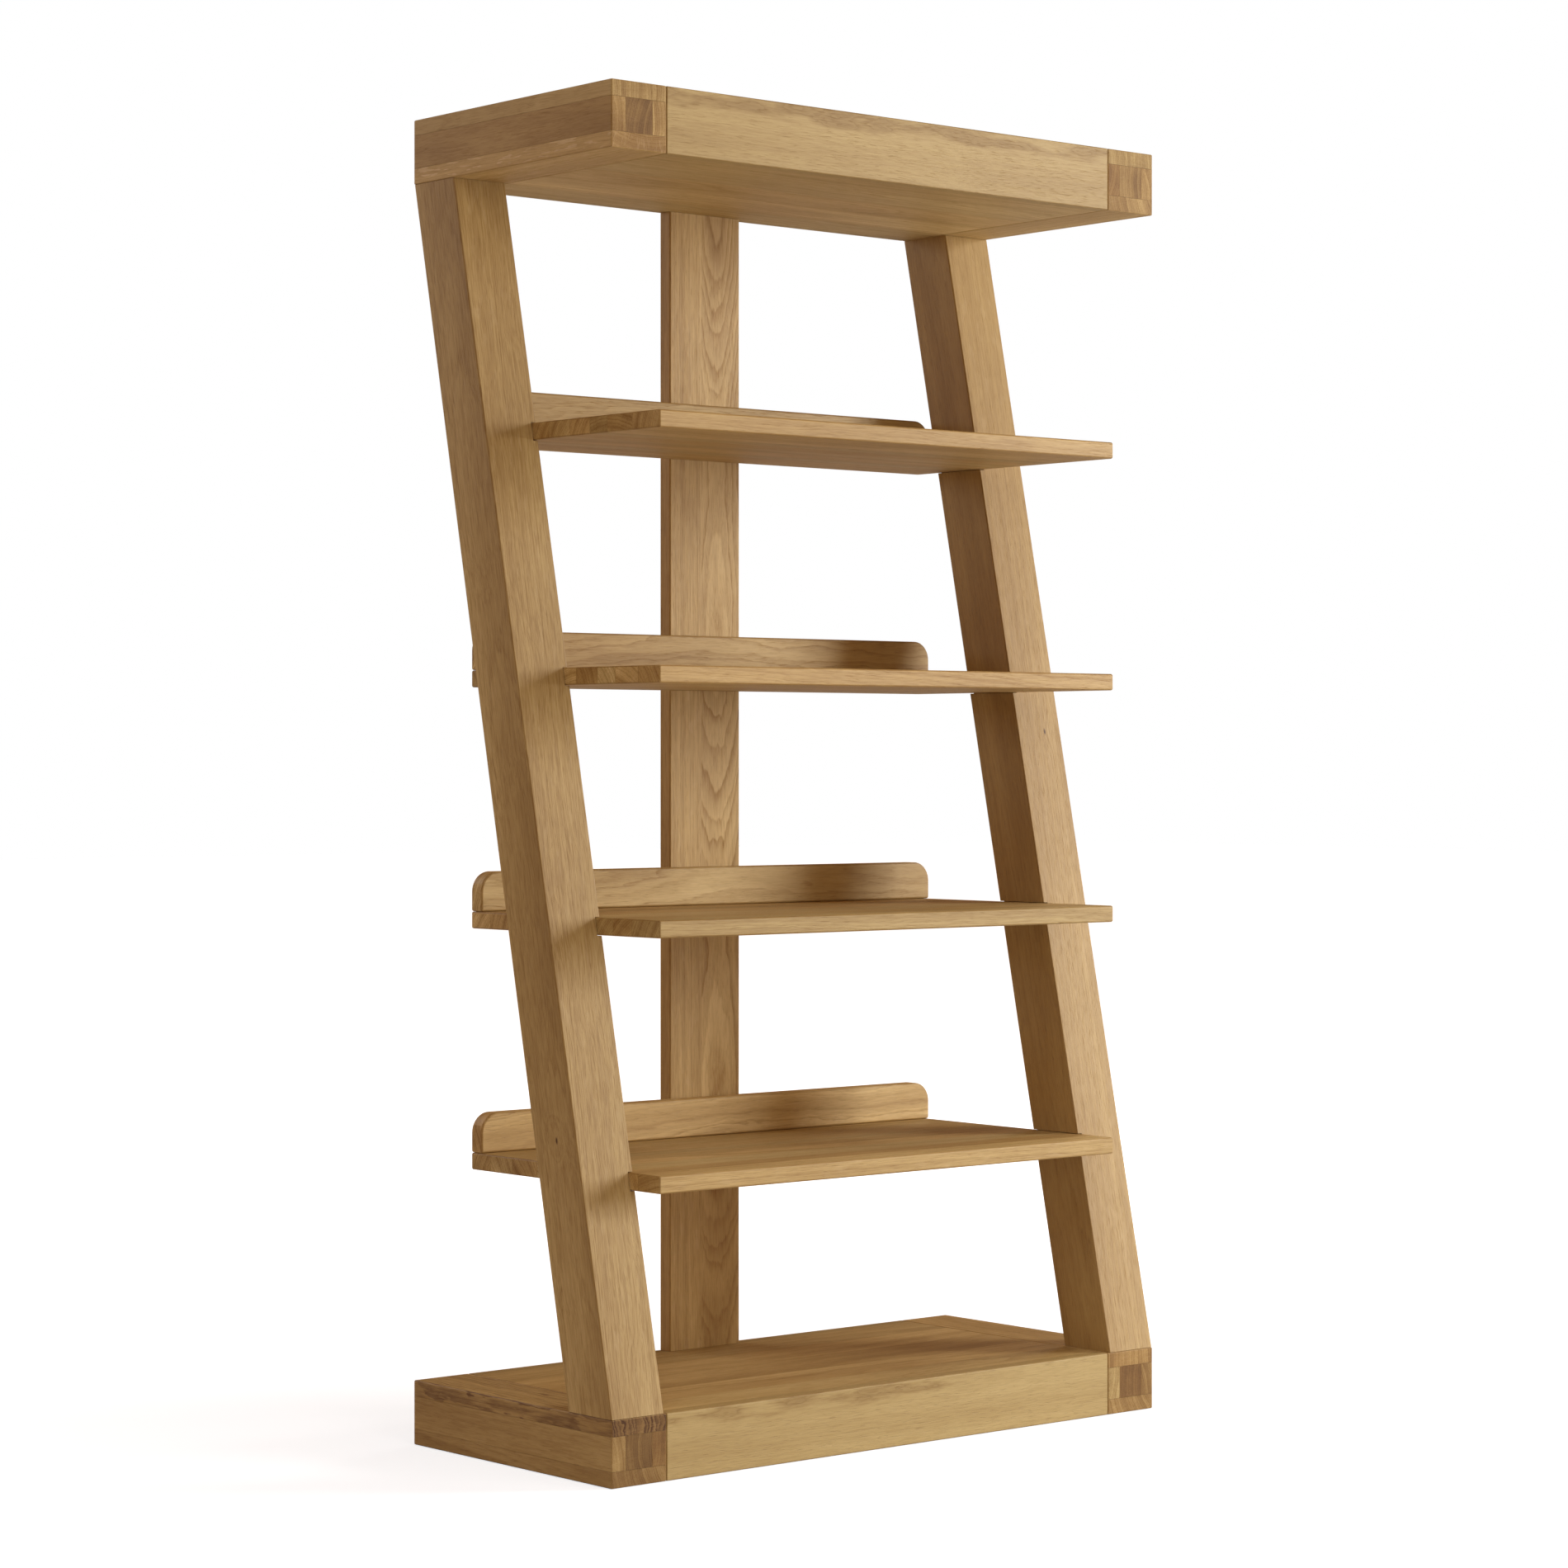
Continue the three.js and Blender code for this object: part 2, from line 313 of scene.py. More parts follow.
def shader_group(name: str, inputs: dict[str, str], outputs: dict[str, str]) -> tuple[Wiring, dict, dict]:
    """Starts a shader node group.

    Args:
        name: the group's name.
        inputs: each input's name and kind, Float, Vector or Color.
        outputs: the same for its outputs.

    Returns:
        The wiring of its tree, its input sockets by name, and its output sockets by name.
    """
    tree = bpy.data.node_groups.new(name, "ShaderNodeTree")
    for names, way in ((inputs, "INPUT"), (outputs, "OUTPUT")):
        for label, kind in names.items():
            tree.interface.new_socket(name=label, in_out=way, socket_type="NodeSocket" + kind)
    wires = Wiring(tree)
    source = wires.add("NodeGroupInput").outputs
    sink = wires.add("NodeGroupOutput").inputs
    return wires, {label: source[label] for label in inputs}, {label: sink[label] for label in outputs}


def oak_figure_group() -> bpy.types.NodeTree:
    """Builds the figure of oak as a solid pattern.

    Place is a point in the log: metres along the grain, out from the pith, and round it. Growth
    rings are cylinders about a pith that wanders and bows along the grain, so one pattern gives
    straight grain, cathedral arches and end grain, each on the face that cuts it that way.

    Returns:
        The group, whose outputs are masks from 0 to 1.
    """
    wires, given, made = shader_group(
        "oak_figure",
        {
            "Place": "Vector",
            "Wander": "Float",
            "Jag": "Float",
            "Sway": "Float",
            "Bow": "Float",
            "Bow Rate": "Float",
            "Ring": "Float",
            "Heart Radius": "Float",
            "Knot Place": "Vector",
        },
        {name: "Float" for name in FIGURE},
    )
    along, out, across = wires.split(given["Place"])
    spot = (along, out, across)
    squares = (wires.math("POWER", out, 2), wires.math("POWER", across, 2))
    radius = wires.math("SQRT", wires.math("ADD", *squares))
    bend = wires.math("SINE", wires.math("MULTIPLY", along, given["Bow Rate"]))
    moved = wires.math("MULTIPLY_ADD", bend, given["Bow"], radius)
    for rates, detail, amount in (
        (WANDER_RATES, 1.0, given["Wander"]),
        (JAG_RATES, 3.0, given["Jag"]),
        (RIPPLE_RATES, 1.0, RIPPLE),
    ):
        drift = wires.math("SUBTRACT", wires.noise(spot, rates, detail), 0.5)
        moved = wires.math("MULTIPLY_ADD", drift, amount, moved)
    reach = wires.add("ShaderNodeVectorMath", operation="DISTANCE")
    wires.feed(reach.inputs[0], wires.join(wires.math("MULTIPLY", along, KNOT_STRETCH), out, across))
    wires.feed(reach.inputs[1], given["Knot Place"])
    reach = reach.outputs["Value"]
    moved = wires.math("MULTIPLY_ADD", wires.ramp(reach, 0.0, KNOT_REACH, 1.0, 0.0), KNOT_PUSH, moved)
    wires.feed(made["Knot"], wires.ramp(reach, *KNOT_EDGE, 1.0, 0.0))
    year = wires.math("DIVIDE", moved, given["Ring"])
    year = wires.math("MULTIPLY_ADD", wires.noise((year,), YEAR_RATES), YEAR_SPREAD, year)
    through = wires.math("FRACT", year)
    vigour = wires.add("ShaderNodeTexWhiteNoise", noise_dimensions="1D")
    wires.feed(vigour.inputs["W"], wires.math("FLOOR", year))
    strength = wires.math("MULTIPLY_ADD", vigour.outputs["Value"], 1.0 - FAINTEST_RING, FAINTEST_RING)
    fall = wires.math("POWER", wires.math("SUBTRACT", 1.0, through), RING_FALL)
    profile = wires.math("MULTIPLY", fall, wires.ramp(through, 0.0, RING_RISE))
    band = wires.math("MULTIPLY", profile, strength)
    wires.feed(made["Ring Band"], wires.math("MULTIPLY", band, RING_GAIN, clamp=True))

    past = wires.math("SUBTRACT", moved, given["Heart Radius"])
    wires.feed(made["Heart"], wires.ramp(past, *HEART_EDGE, 1.0, 0.0))
    wires.feed(made["Growth"], wires.noise((moved,), GROWTH_RATES, 2.0))
    drift = wires.math("SUBTRACT", wires.noise(spot, SWAY_RATES), 0.5)
    across = wires.math("MULTIPLY_ADD", drift, given["Sway"], across)
    out = wires.math("MULTIPLY_ADD", drift, given["Sway"], out)
    spot = (along, out, across)
    wires.feed(made["Streak"], wires.noise(spot, STREAK_RATES, 3.0))
    wires.feed(made["Fleck"], wires.noise(spot, FLECK_RATES, 2.0))
    pore = wires.ramp(wires.noise(spot, PORE_RATES), *PORE_EDGE)
    open_pore = wires.math("MULTIPLY_ADD", band, PORE_IN_RING, PORE_OUTSIDE)
    wires.feed(made["Pore"], wires.math("MULTIPLY", pore, open_pore))
    angle = wires.math("ARCTAN2", across, out)
    ray = wires.noise((along, radius, angle), RAY_RATES, 2.0)
    wires.feed(made["Ray"], wires.ramp(ray, *RAY_EDGE))
    wires.feed(made["Mottle"], wires.noise(spot, MOTTLE_RATES, 3.0))
    return wires.tree


def oak_colour_group() -> bpy.types.NodeTree:
    """Builds the oiled colour and the relief of oak from its figure.

    Darker wood is also a deeper colour, so its shade goes up by a power for green and for blue.

    Returns:
        The group. Tone holds a stave's lightness, its redness, and 1 on end grain. Eased marks the rounded
        edges and the glue-line grooves, which it darkens as painted shade.
    """
    wires, given, made = shader_group(
        "oak_colour",
        {
            "Pale Wood": "Color",
            "Dark Wood": "Color",
            "Contrast": "Float",
            "Streakiness": "Float",
            "Flake": "Float",
            "Cloud": "Float",
            **{name: "Float" for name in FIGURE},
            "Tone": "Vector",
            "Eased": "Float",
        },
        {"Color": "Color", "Roughness": "Float", "Relief": "Float"},
    )
    lightness, redness, end = wires.split(given["Tone"])
    strength = wires.math("MULTIPLY_ADD", given["Heart"], HEART_RINGS, wires.math("ADD", end, 1.0))
    band = wires.math("MULTIPLY", wires.math("MULTIPLY", given["Ring Band"], given["Contrast"]), strength)
    lines = wires.math("MULTIPLY", wires.ramp(given["Fleck"], *FLECK_EDGE), FLECK_SHARE)
    lines = wires.math("MULTIPLY_ADD", wires.ramp(given["Streak"], *STREAK_EDGE), STREAK_SHARE, lines)
    dark = wires.math("MULTIPLY_ADD", lines, given["Streakiness"], band, clamp=True)
    colour = wires.blend(dark, given["Pale Wood"], given["Dark Wood"])
    colour = wires.blend(wires.math("MULTIPLY", given["Ray"], given["Flake"]), colour, RAY_COLOUR)
    colour = wires.blend(wires.math("MULTIPLY", given["Pore"], PORE_SHARE), colour, PORE_COLOUR)
    colour = wires.blend(given["Knot"], colour, KNOT_COLOUR)

    mottle = wires.ramp(given["Mottle"], *MOTTLE_EDGE, *MOTTLE_SHADE)
    cloud = wires.math("ADD", mottle, wires.ramp(given["Growth"], *GROWTH_EDGE, *GROWTH_SHADE))
    cloud = wires.math("MULTIPLY", cloud, wires.math("MULTIPLY_ADD", end, END_CLOUD, given["Cloud"]))
    shade = wires.math("ADD", cloud, 1.0)
    shade = wires.math("MULTIPLY", shade, wires.math("MULTIPLY_ADD", given["Heart"], HEART_SHADE, 1.0))
    shade = wires.math("MULTIPLY", shade, lightness)
    # Painted shade: the rounded edges and the glue-line grooves are darkened.
    shade = wires.math("MULTIPLY", shade, wires.math("MULTIPLY_ADD", given["Eased"], EDGE_PAINTED_SHADE, 1.0))
    warm = wires.math("MULTIPLY_ADD", redness, WARMING, 1.0)
    deep = wires.math("MULTIPLY_ADD", redness, DEEPENING, 1.0)
    tint = wires.join(
        wires.math("MULTIPLY", shade, warm),
        wires.math("MULTIPLY", wires.math("POWER", shade, GREEN_POWER), deep),
        wires.math("MULTIPLY", wires.math("POWER", shade, BLUE_POWER), wires.math("POWER", deep, 3)),
    )
    wires.feed(made["Color"], wires.blend(1.0, colour, tint, "MULTIPLY"))
    rough = wires.math("MULTIPLY_ADD", given["Pore"], PORE_ROUGHNESS, BARE_ROUGHNESS)
    rough = wires.math("MULTIPLY_ADD", band, RING_ROUGHNESS, rough)
    rough = wires.math("MULTIPLY_ADD", end, END_ROUGHNESS, rough)
    wires.feed(made["Roughness"], wires.math("MULTIPLY_ADD", given["Eased"], EASED_ROUGHNESS, rough))
    relief = wires.math("MULTIPLY_ADD", given["Ring Band"], RING_RELIEF, 1.0)
    wires.feed(made["Relief"], wires.math("MULTIPLY_ADD", given["Pore"], PORE_RELIEF, relief))
    return wires.tree


@dataclass(frozen=True)
class OakFinish:
    """Oiled oak. Each way of sawing it shows its figure with its own strength."""

    name: str
    wander: float
    contrast: float
    streakiness: float = 0.22
    jag: float = 0.0034
    sway: float = 0.006
    ring: float = 0.0034
    flake: float = 0.30
    cloud: float = 1.0
    heart: float = 0.0
    knot: tuple[float, float, float] = NO_KNOT
    bow: float = 0.0
    bow_length: float = 0.68
    pale_wood: Colour = (0.580, 0.415, 0.166, 1)
    dark_wood: Colour = (0.350, 0.203, 0.055, 1)
    relief: float = 0.00022
    specular: float = 0.35

    def material(self) -> bpy.types.Material:
        """Returns the finish's material, made when it is first asked for."""
        return bpy.data.materials.get(self.name) or self._build()

    def _build(self) -> bpy.types.Material:
        """Makes the material.

        Returns:
            A new material of this finish.
        """
        material, wires, shader = new_material(self.name)
        place = wires.add("ShaderNodeAttribute", attribute_name=PLACE).outputs["Vector"]
        tone = wires.add("ShaderNodeAttribute", attribute_name=TONE).outputs["Vector"]
        eased = wires.add("ShaderNodeAttribute", attribute_name=EASED).outputs["Fac"]
        figure = wires.place_group(
            group("oak_figure", oak_figure_group),
            {
                "Place": place,
                "Wander": self.wander,
                "Jag": self.jag,
                "Sway": self.sway,
                "Bow": self.bow,
                "Bow Rate": 2 * math.pi / self.bow_length,
                "Ring": self.ring,
                "Heart Radius": self.heart,
                "Knot Place": self.knot,
            },
        )
        colour = wires.place_group(
            group("oak_colour", oak_colour_group),
            {
                "Pale Wood": self.pale_wood,
                "Dark Wood": self.dark_wood,
                "Contrast": self.contrast,
                "Streakiness": self.streakiness,
                "Flake": self.flake,
                "Cloud": self.cloud,
                **{name: figure[name] for name in FIGURE},
                "Tone": tone,
                "Eased": eased,
            },
        )
        wires.feed(shader.inputs["Base Color"], colour["Color"])
        wires.feed(shader.inputs["Roughness"], colour["Roughness"])
        wires.feed(shader.inputs["Normal"], wires.bump(colour["Relief"], self.relief))
        shader.inputs["Specular IOR Level"].default_value = self.specular
        return material


@dataclass(frozen=True)
class BeechFinish:
    """Plain turned beech, with the small dark flecks that beech has."""

    name: str = "turned_beech"
    pale: Colour = (0.62, 0.45, 0.27, 1)
    dark: Colour = (0.50, 0.34, 0.18, 1)
    fleck: Colour = (0.33, 0.19, 0.09, 1)

    def material(self) -> bpy.types.Material:
        """Returns the finish's material, made when it is first asked for."""
        return bpy.data.materials.get(self.name) or self._build()

    def _build(self) -> bpy.types.Material:
        """Makes the material.

        Returns:
            A new material of this finish.
        """
        material, wires, shader = new_material(self.name)
        place = wires.split(wires.add("ShaderNodeTexCoord").outputs["Object"])
        grain = wires.noise(place, (900, 900, 25), 2.0)
        fleck = wires.ramp(wires.noise(place, (1400, 500, 220), 0.0), 0.62, 0.68)
        colour = wires.blend(wires.ramp(grain, 0.3, 0.7), self.pale, self.dark)
        wires.feed(shader.inputs["Base Color"], wires.blend(fleck, colour, self.fleck))
        wires.feed(shader.inputs["Roughness"], wires.ramp(grain, 0.2, 0.8, 0.52, 0.66))
        wires.feed(shader.inputs["Normal"], wires.bump(grain, 0.00005))
        return material


@dataclass(frozen=True)
class ZincFinish:
    """Bright zinc plate, turned and lightly clouded."""

    name: str = "bright_zinc"
    bright: Colour = (0.74, 0.73, 0.70, 1)
    dull: Colour = (0.50, 0.49, 0.45, 1)

    def material(self) -> bpy.types.Material:
        """Returns the finish's material, made when it is first asked for."""
        return bpy.data.materials.get(self.name) or self._build()

    def _build(self) -> bpy.types.Material:
        """Makes the material.

        Returns:
            A new material of this finish.
        """
        material, wires, shader = new_material(self.name)
        place = wires.split(wires.add("ShaderNodeTexCoord").outputs["Object"])
        cloud = wires.noise(place, (420, 420, 420), 2.0)
        turning = wires.noise(place, (300, 5200, 300), 1.0)
        colour = wires.blend(wires.ramp(cloud, 0.35, 0.7), self.bright, self.dull)
        wires.feed(shader.inputs["Base Color"], colour)
        wires.feed(shader.inputs["Roughness"], wires.ramp(cloud, 0.3, 0.7, 0.28, 0.46))
        wires.feed(shader.inputs["Normal"], wires.bump(turning, 0.00003))
        shader.inputs["Metallic"].default_value = 1.0
        return material


def new_material(name: str) -> tuple[bpy.types.Material, Wiring, bpy.types.Node]:
    """Starts a material.

    Args:
        name: its name.

    Returns:
        The material, the wiring of its tree, and its shader.
    """
    material = bpy.data.materials.new(name)
    material.use_nodes = True
    return material, Wiring(material.node_tree), material.node_tree.nodes["Principled BSDF"]


def group(name: str, build: Callable[[], bpy.types.NodeTree]) -> bpy.types.NodeTree:
    """Returns the node group of that name, built when it is first asked for."""
    return bpy.data.node_groups.get(name) or build()


STRAIGHT_OAK = OakFinish("straight_oak", wander=0.010, contrast=0.26, streakiness=0.27)
LEFT_LEG_OAK = OakFinish(
    "left_leg_oak",
    wander=0.008,
    contrast=0.26,
    streakiness=0.36,
    sway=0.016,
    cloud=0.6,
    knot=(1.580, 0.1907, 0.0175),
)
RIGHT_LEG_OAK = OakFinish(
    "right_leg_oak", wander=0.010, contrast=0.24, streakiness=0.17, cloud=0.7, knot=(8.13, 0.165, -0.036)
)
FIGURED_OAK = OakFinish(
    "figured_oak", wander=0.010, contrast=0.80, streakiness=0.20, jag=0.0062, ring=0.0050, bow=-0.0088
)
RAIL_OAK = OakFinish(
    "rail_oak",
    wander=0.010,
    contrast=0.18,
    streakiness=0.15,
    jag=0.0100,
    ring=0.0022,
    heart=0.0470,
    flake=0.12,
    cloud=0.5,
)
BOARD_OAK = OakFinish("board_oak", wander=0.024, contrast=0.44, jag=0.0046)
FLAME_OAK = OakFinish(
    "flame_oak", wander=0.034, contrast=0.62, streakiness=0.13, jag=0.0085, ring=0.0046, cloud=1.3
)
BEAM_OAK = OakFinish("beam_oak", wander=0.012, contrast=0.46, ring=0.0036)
CURLY_OAK = OakFinish("curly_oak", wander=0.012, contrast=0.46, ring=0.0036, flake=3.0)
RUSTIC_OAK = OakFinish(
    "rustic_oak", wander=0.026, contrast=0.95, jag=0.018, ring=0.0075, dark_wood=(0.210, 0.116, 0.048, 1)
)
BEECH = BeechFinish()
ZINC = ZincFinish()


# ---------------------------------------------------------------------------------------------
# Timber
# ---------------------------------------------------------------------------------------------


class Grain(Enum):
    """Which way a board's grain runs."""

    ALONG_SHELF = (1.0, 0.0, 0.0)
    FRONT_TO_BACK = (0.0, 1.0, 0.0)
    UPRIGHT = (0.0, 0.0, 1.0)


def unit(vector: Sequence[float]) -> np.ndarray:
    """Returns the vector of length 1 that points the same way."""
    return np.array(vector, float) / np.linalg.norm(vector)


@dataclass(frozen=True)
class Cut:
    """How one board or stave was sawn from its log, and how its wood came out.

    bark points from the pith to the board, so a face that looks that way shows cathedral arches
    and a face square to it shows straight lines.
    """

    grain: tuple[float, float, float]
    bark: tuple[float, float, float]
    pith: float = 0.10
    offset: float = 0.0
    taper: float = 0.012
    shift: float = 0.0
    lightness: float = 1.0
    end_lightness: float = 0.74
    redness: float = 0.0
    # The fades change the lightness per metre across, out from the pith and along the grain. On the legs and
    # the post they are painted light and shade: the fade out from the pith darkens the face each leg turns
    # away from the key light, and the fade along the grain paints shade towards the left leg's top and light
    # towards the foot of the post.
    fade_across: float = 0.0
    painted_shade_out: float = 0.0
    fade_along: float = 0.0

    def place(self, points: np.ndarray, centre: np.ndarray) -> np.ndarray:
        """Gives points their places in the log.

        Args:
            points: an N by 3 array of points of the board.
            centre: the board's middle.

        Returns:
            An N by 3 array: along the grain, out from the pith, and round it.
        """
        grain = unit(self.grain)
        bark = unit(np.array(self.bark) - grain * np.dot(self.bark, grain))
        local = points - centre
        along = local @ grain
        out = local @ bark + self.pith + self.taper * along
        return np.stack([along + self.shift, out, local @ np.cross(grain, bark) + self.offset], axis=1)


def seeded_cut(
    name: str,
    grain: tuple[float, float, float],
    bark: tuple[float, float, float],
    lightness: float = 1.0,
    spread: float = 0.08,
    pith: float = 0.09,
    end_lightness: float = 0.78,
    tilt: float = 0.7,
) -> Cut:
    """Picks the chance part of a board's cut from its name, so that each run gives the same one.

    Args:
        name: the board's or stave's name.
        grain: the grain's direction.
        bark: roughly where the bark was.
        lightness: how light the wood is on average.
        spread: how far one stave's lightness strays from another's.
        pith: the nearest that the pith may be.
        end_lightness: how light its end grain is on average.
        tilt: how far the bark may lie to the side, as a slope.

    Returns:
        The cut.
    """
    chance = random.Random(name)
    side = np.cross(grain, bark)
    lean = chance.uniform(-tilt, tilt)
    return Cut(
        grain=grain,
        bark=tuple(np.array(bark) + lean * side),
        pith=pith * chance.uniform(*PITH_SHARES),
        offset=chance.uniform(*OFFSETS),
        taper=chance.uniform(*TAPERS),
        shift=chance.uniform(*SHIFTS),
        lightness=lightness * chance.uniform(1 - spread, 1 + spread),
        end_lightness=end_lightness * chance.uniform(1 - 2 * spread, 1 + 2 * spread),
        redness=chance.uniform(*REDNESSES),
    )


@dataclass(frozen=True)
class Span:
    """A box in the frame, by its lowest and highest corners."""

    low: Vector
    high: Vector

    @classmethod
    def of(cls, *nodes: str) -> "Span":
        """Boxes some nodes of the frame.

        Args:
            nodes: their names.

        Returns:
            The box round them all.
        """
        boxes = [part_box(node) for node in nodes]
        low = Vector([min(box[0][axis] for box in boxes) for axis in range(3)])
        high = Vector([max(box[1][axis] for box in boxes) for axis in range(3)])
        return cls(low, high)

    @property
    def centre(self) -> Vector:
        """The middle of the box."""
        return (self.low + self.high) / 2

    @property
    def size(self) -> Vector:
        """Its length on each axis."""
        return self.high - self.low


# ---------------------------------------------------------------------------------------------
# Workshop: what is done to a piece of wood
# ---------------------------------------------------------------------------------------------


def put_down() -> None:
    """Leaves edit mode and selects nothing."""
    if bpy.context.mode != "OBJECT":
        bpy.ops.object.mode_set(mode="OBJECT")
    bpy.ops.object.select_all(action="DESELECT")


def pick_up(piece: bpy.types.Object) -> None:
    """Makes a piece the only one selected, and the active one.

    Args:
        piece: the piece.
    """
    put_down()
    piece.select_set(True)
    bpy.context.view_layer.objects.active = piece


@contextmanager
def editing(piece: bpy.types.Object, parts: str = "EDGE") -> Iterator[bmesh.types.BMesh]:
    """Opens a piece in edit mode with nothing selected.

    Args:
        piece: the piece.
        parts: what is selected in it: VERT, EDGE or FACE.

    Yields:
        Its mesh, to select parts of by their place.
    """
    pick_up(piece)
    bpy.ops.object.mode_set(mode="EDIT")
    bpy.ops.mesh.select_mode(type=parts)
    bpy.ops.mesh.select_all(action="DESELECT")
    yield bmesh.from_edit_mesh(piece.data)
    bpy.ops.object.mode_set(mode="OBJECT")


def plank(name: str, span: Span) -> bpy.types.Object:
    """Saws a square-edged board to size.

    Args:
        name: its name.
        span: the box that it fills.

    Returns:
        The board, with its place in its mesh.
    """
    put_down()
    bpy.ops.mesh.primitive_cube_add(size=1, location=span.centre, scale=span.size)
    piece = bpy.context.object
    piece.name = piece.data.name = name
    bpy.ops.object.transform_apply(location=True, rotation=True, scale=True)
    return piece


def ease_sharp(piece: bpy.types.Object, width: float, steps: int = 4) -> None:
    """Rounds over every sharp edge of a piece.

    Args:
        piece: the piece.
        width: how far in the rounding starts.
        steps: how many faces it has.
    """
    with editing(piece):
        bpy.ops.mesh.edges_select_sharp(sharpness=math.radians(40))
        bpy.ops.mesh.bevel(offset=width, segments=steps, profile=0.5, clamp_overlap=True)


def ease_where(
    piece: bpy.types.Object, test: Callable[[Vector, Vector], bool], width: float, steps: int = 4
) -> None:
    """Rounds over the edges that pass a test.

    Args:
        piece: the piece.
        test: takes an edge's middle and its direction, and says whether it is eased.
        width: how far in the rounding starts.
        steps: how many faces it has.
    """
    with editing(piece) as mesh:
        for edge in mesh.edges:
            first, second = (v.co for v in edge.verts)
            if test((first + second) / 2, (second - first).normalized()):
                edge.select_set(True)
        bmesh.update_edit_mesh(piece.data)
        bpy.ops.mesh.bevel(offset=width, segments=steps, profile=0.5, clamp_overlap=True)


def ease_outside(piece: bpy.types.Object, whole: Span, width: float, steps: int = 4) -> None:
    """Rounds over a piece's edges only where they are edges of the whole that it is glued into.

    Args:
        piece: the piece.
        whole: the box round the glued-up whole.
        width: how far in the rounding starts.
        steps: how many faces it has.
    """

    def outer(middle: Vector, direction: Vector) -> bool:
        """Says whether an edge lies on two outer faces of the whole.

        Args:
            middle: the edge's middle.
            direction: its direction.

        Returns:
            True where it does.
        """
        on_face = [
            min(abs(middle[axis] - whole.low[axis]), abs(middle[axis] - whole.high[axis])) < NEAR
            for axis in range(3)
            if abs(direction[axis]) < 0.5
        ]
        return all(on_face)

    ease_where(piece, outer, width, steps)


def saw(piece: bpy.types.Object, point: Vector, away: Vector) -> None:
    """Saws off all of a piece on one side of a plane, and closes the end.

    Args:
        piece: the piece.
        point: a point of the plane.
        away: the plane's normal, towards what falls off.
    """
    with editing(piece):
        bpy.ops.mesh.select_all(action="SELECT")
        bpy.ops.mesh.bisect(plane_co=point, plane_no=away, use_fill=True, clear_outer=True)


def score_glue_lines(
    piece: bpy.types.Object,
    axis: int,
    lines: Sequence[float],
    width: float = 0.0007,
    depth: float = 0.00028,
) -> None:
    """Scores the fine grooves where neighbouring staves of a board meet.

    Args:
        piece: the board.
        axis: the axis that the staves are counted along.
        lines: where the glue lines are on that axis.
        width: a groove's width.
        depth: its depth.
    """
    normal = Vector([float(axis == index) for index in range(3)])
    with editing(piece, "VERT") as mesh:
        for line in lines:
            for place in (line - width / 2, line, line + width / 2):
                bpy.ops.mesh.select_all(action="SELECT")
                bpy.ops.mesh.bisect(plane_co=normal * place, plane_no=normal, threshold=1e-7)
        bpy.ops.mesh.select_all(action="DESELECT")
        mesh = bmesh.from_edit_mesh(piece.data)
        for vertex in mesh.verts:
            vertex.select_set(min(abs(vertex.co[axis] - line) for line in lines) < 1e-6)
        mesh.select_flush_mode()
        bmesh.update_edit_mesh(piece.data)
        bpy.ops.transform.shrink_fatten(value=-depth)


def cut_out(piece: bpy.types.Object, cutter: bpy.types.Object) -> None:
    """Cuts a shape out of a piece and throws the cutter away.

    Args:
        piece: the piece.
        cutter: the shape that is cut out.
    """
    pick_up(piece)
    cut = piece.modifiers.new("cut", "BOOLEAN")
    cut.operation, cut.solver, cut.object = "DIFFERENCE", "EXACT", cutter
    bpy.ops.object.modifier_apply(modifier=cut.name)
    bpy.data.objects.remove(cutter, do_unlink=True)


def smooth(piece: bpy.types.Object, angle: float = 50) -> None:
    """Shades rounded edges smooth while wide faces stay flat.

    Args:
        piece: the piece.
        angle: the steepest fold, in degrees, that is still shaded smooth.
    """
    pick_up(piece)
    bpy.ops.object.shade_smooth_by_angle(angle=math.radians(angle))
    even = piece.modifiers.new("even", "WEIGHTED_NORMAL")
    even.keep_sharp = True
    even.weight = 100
    bpy.ops.object.modifier_apply(modifier=even.name)


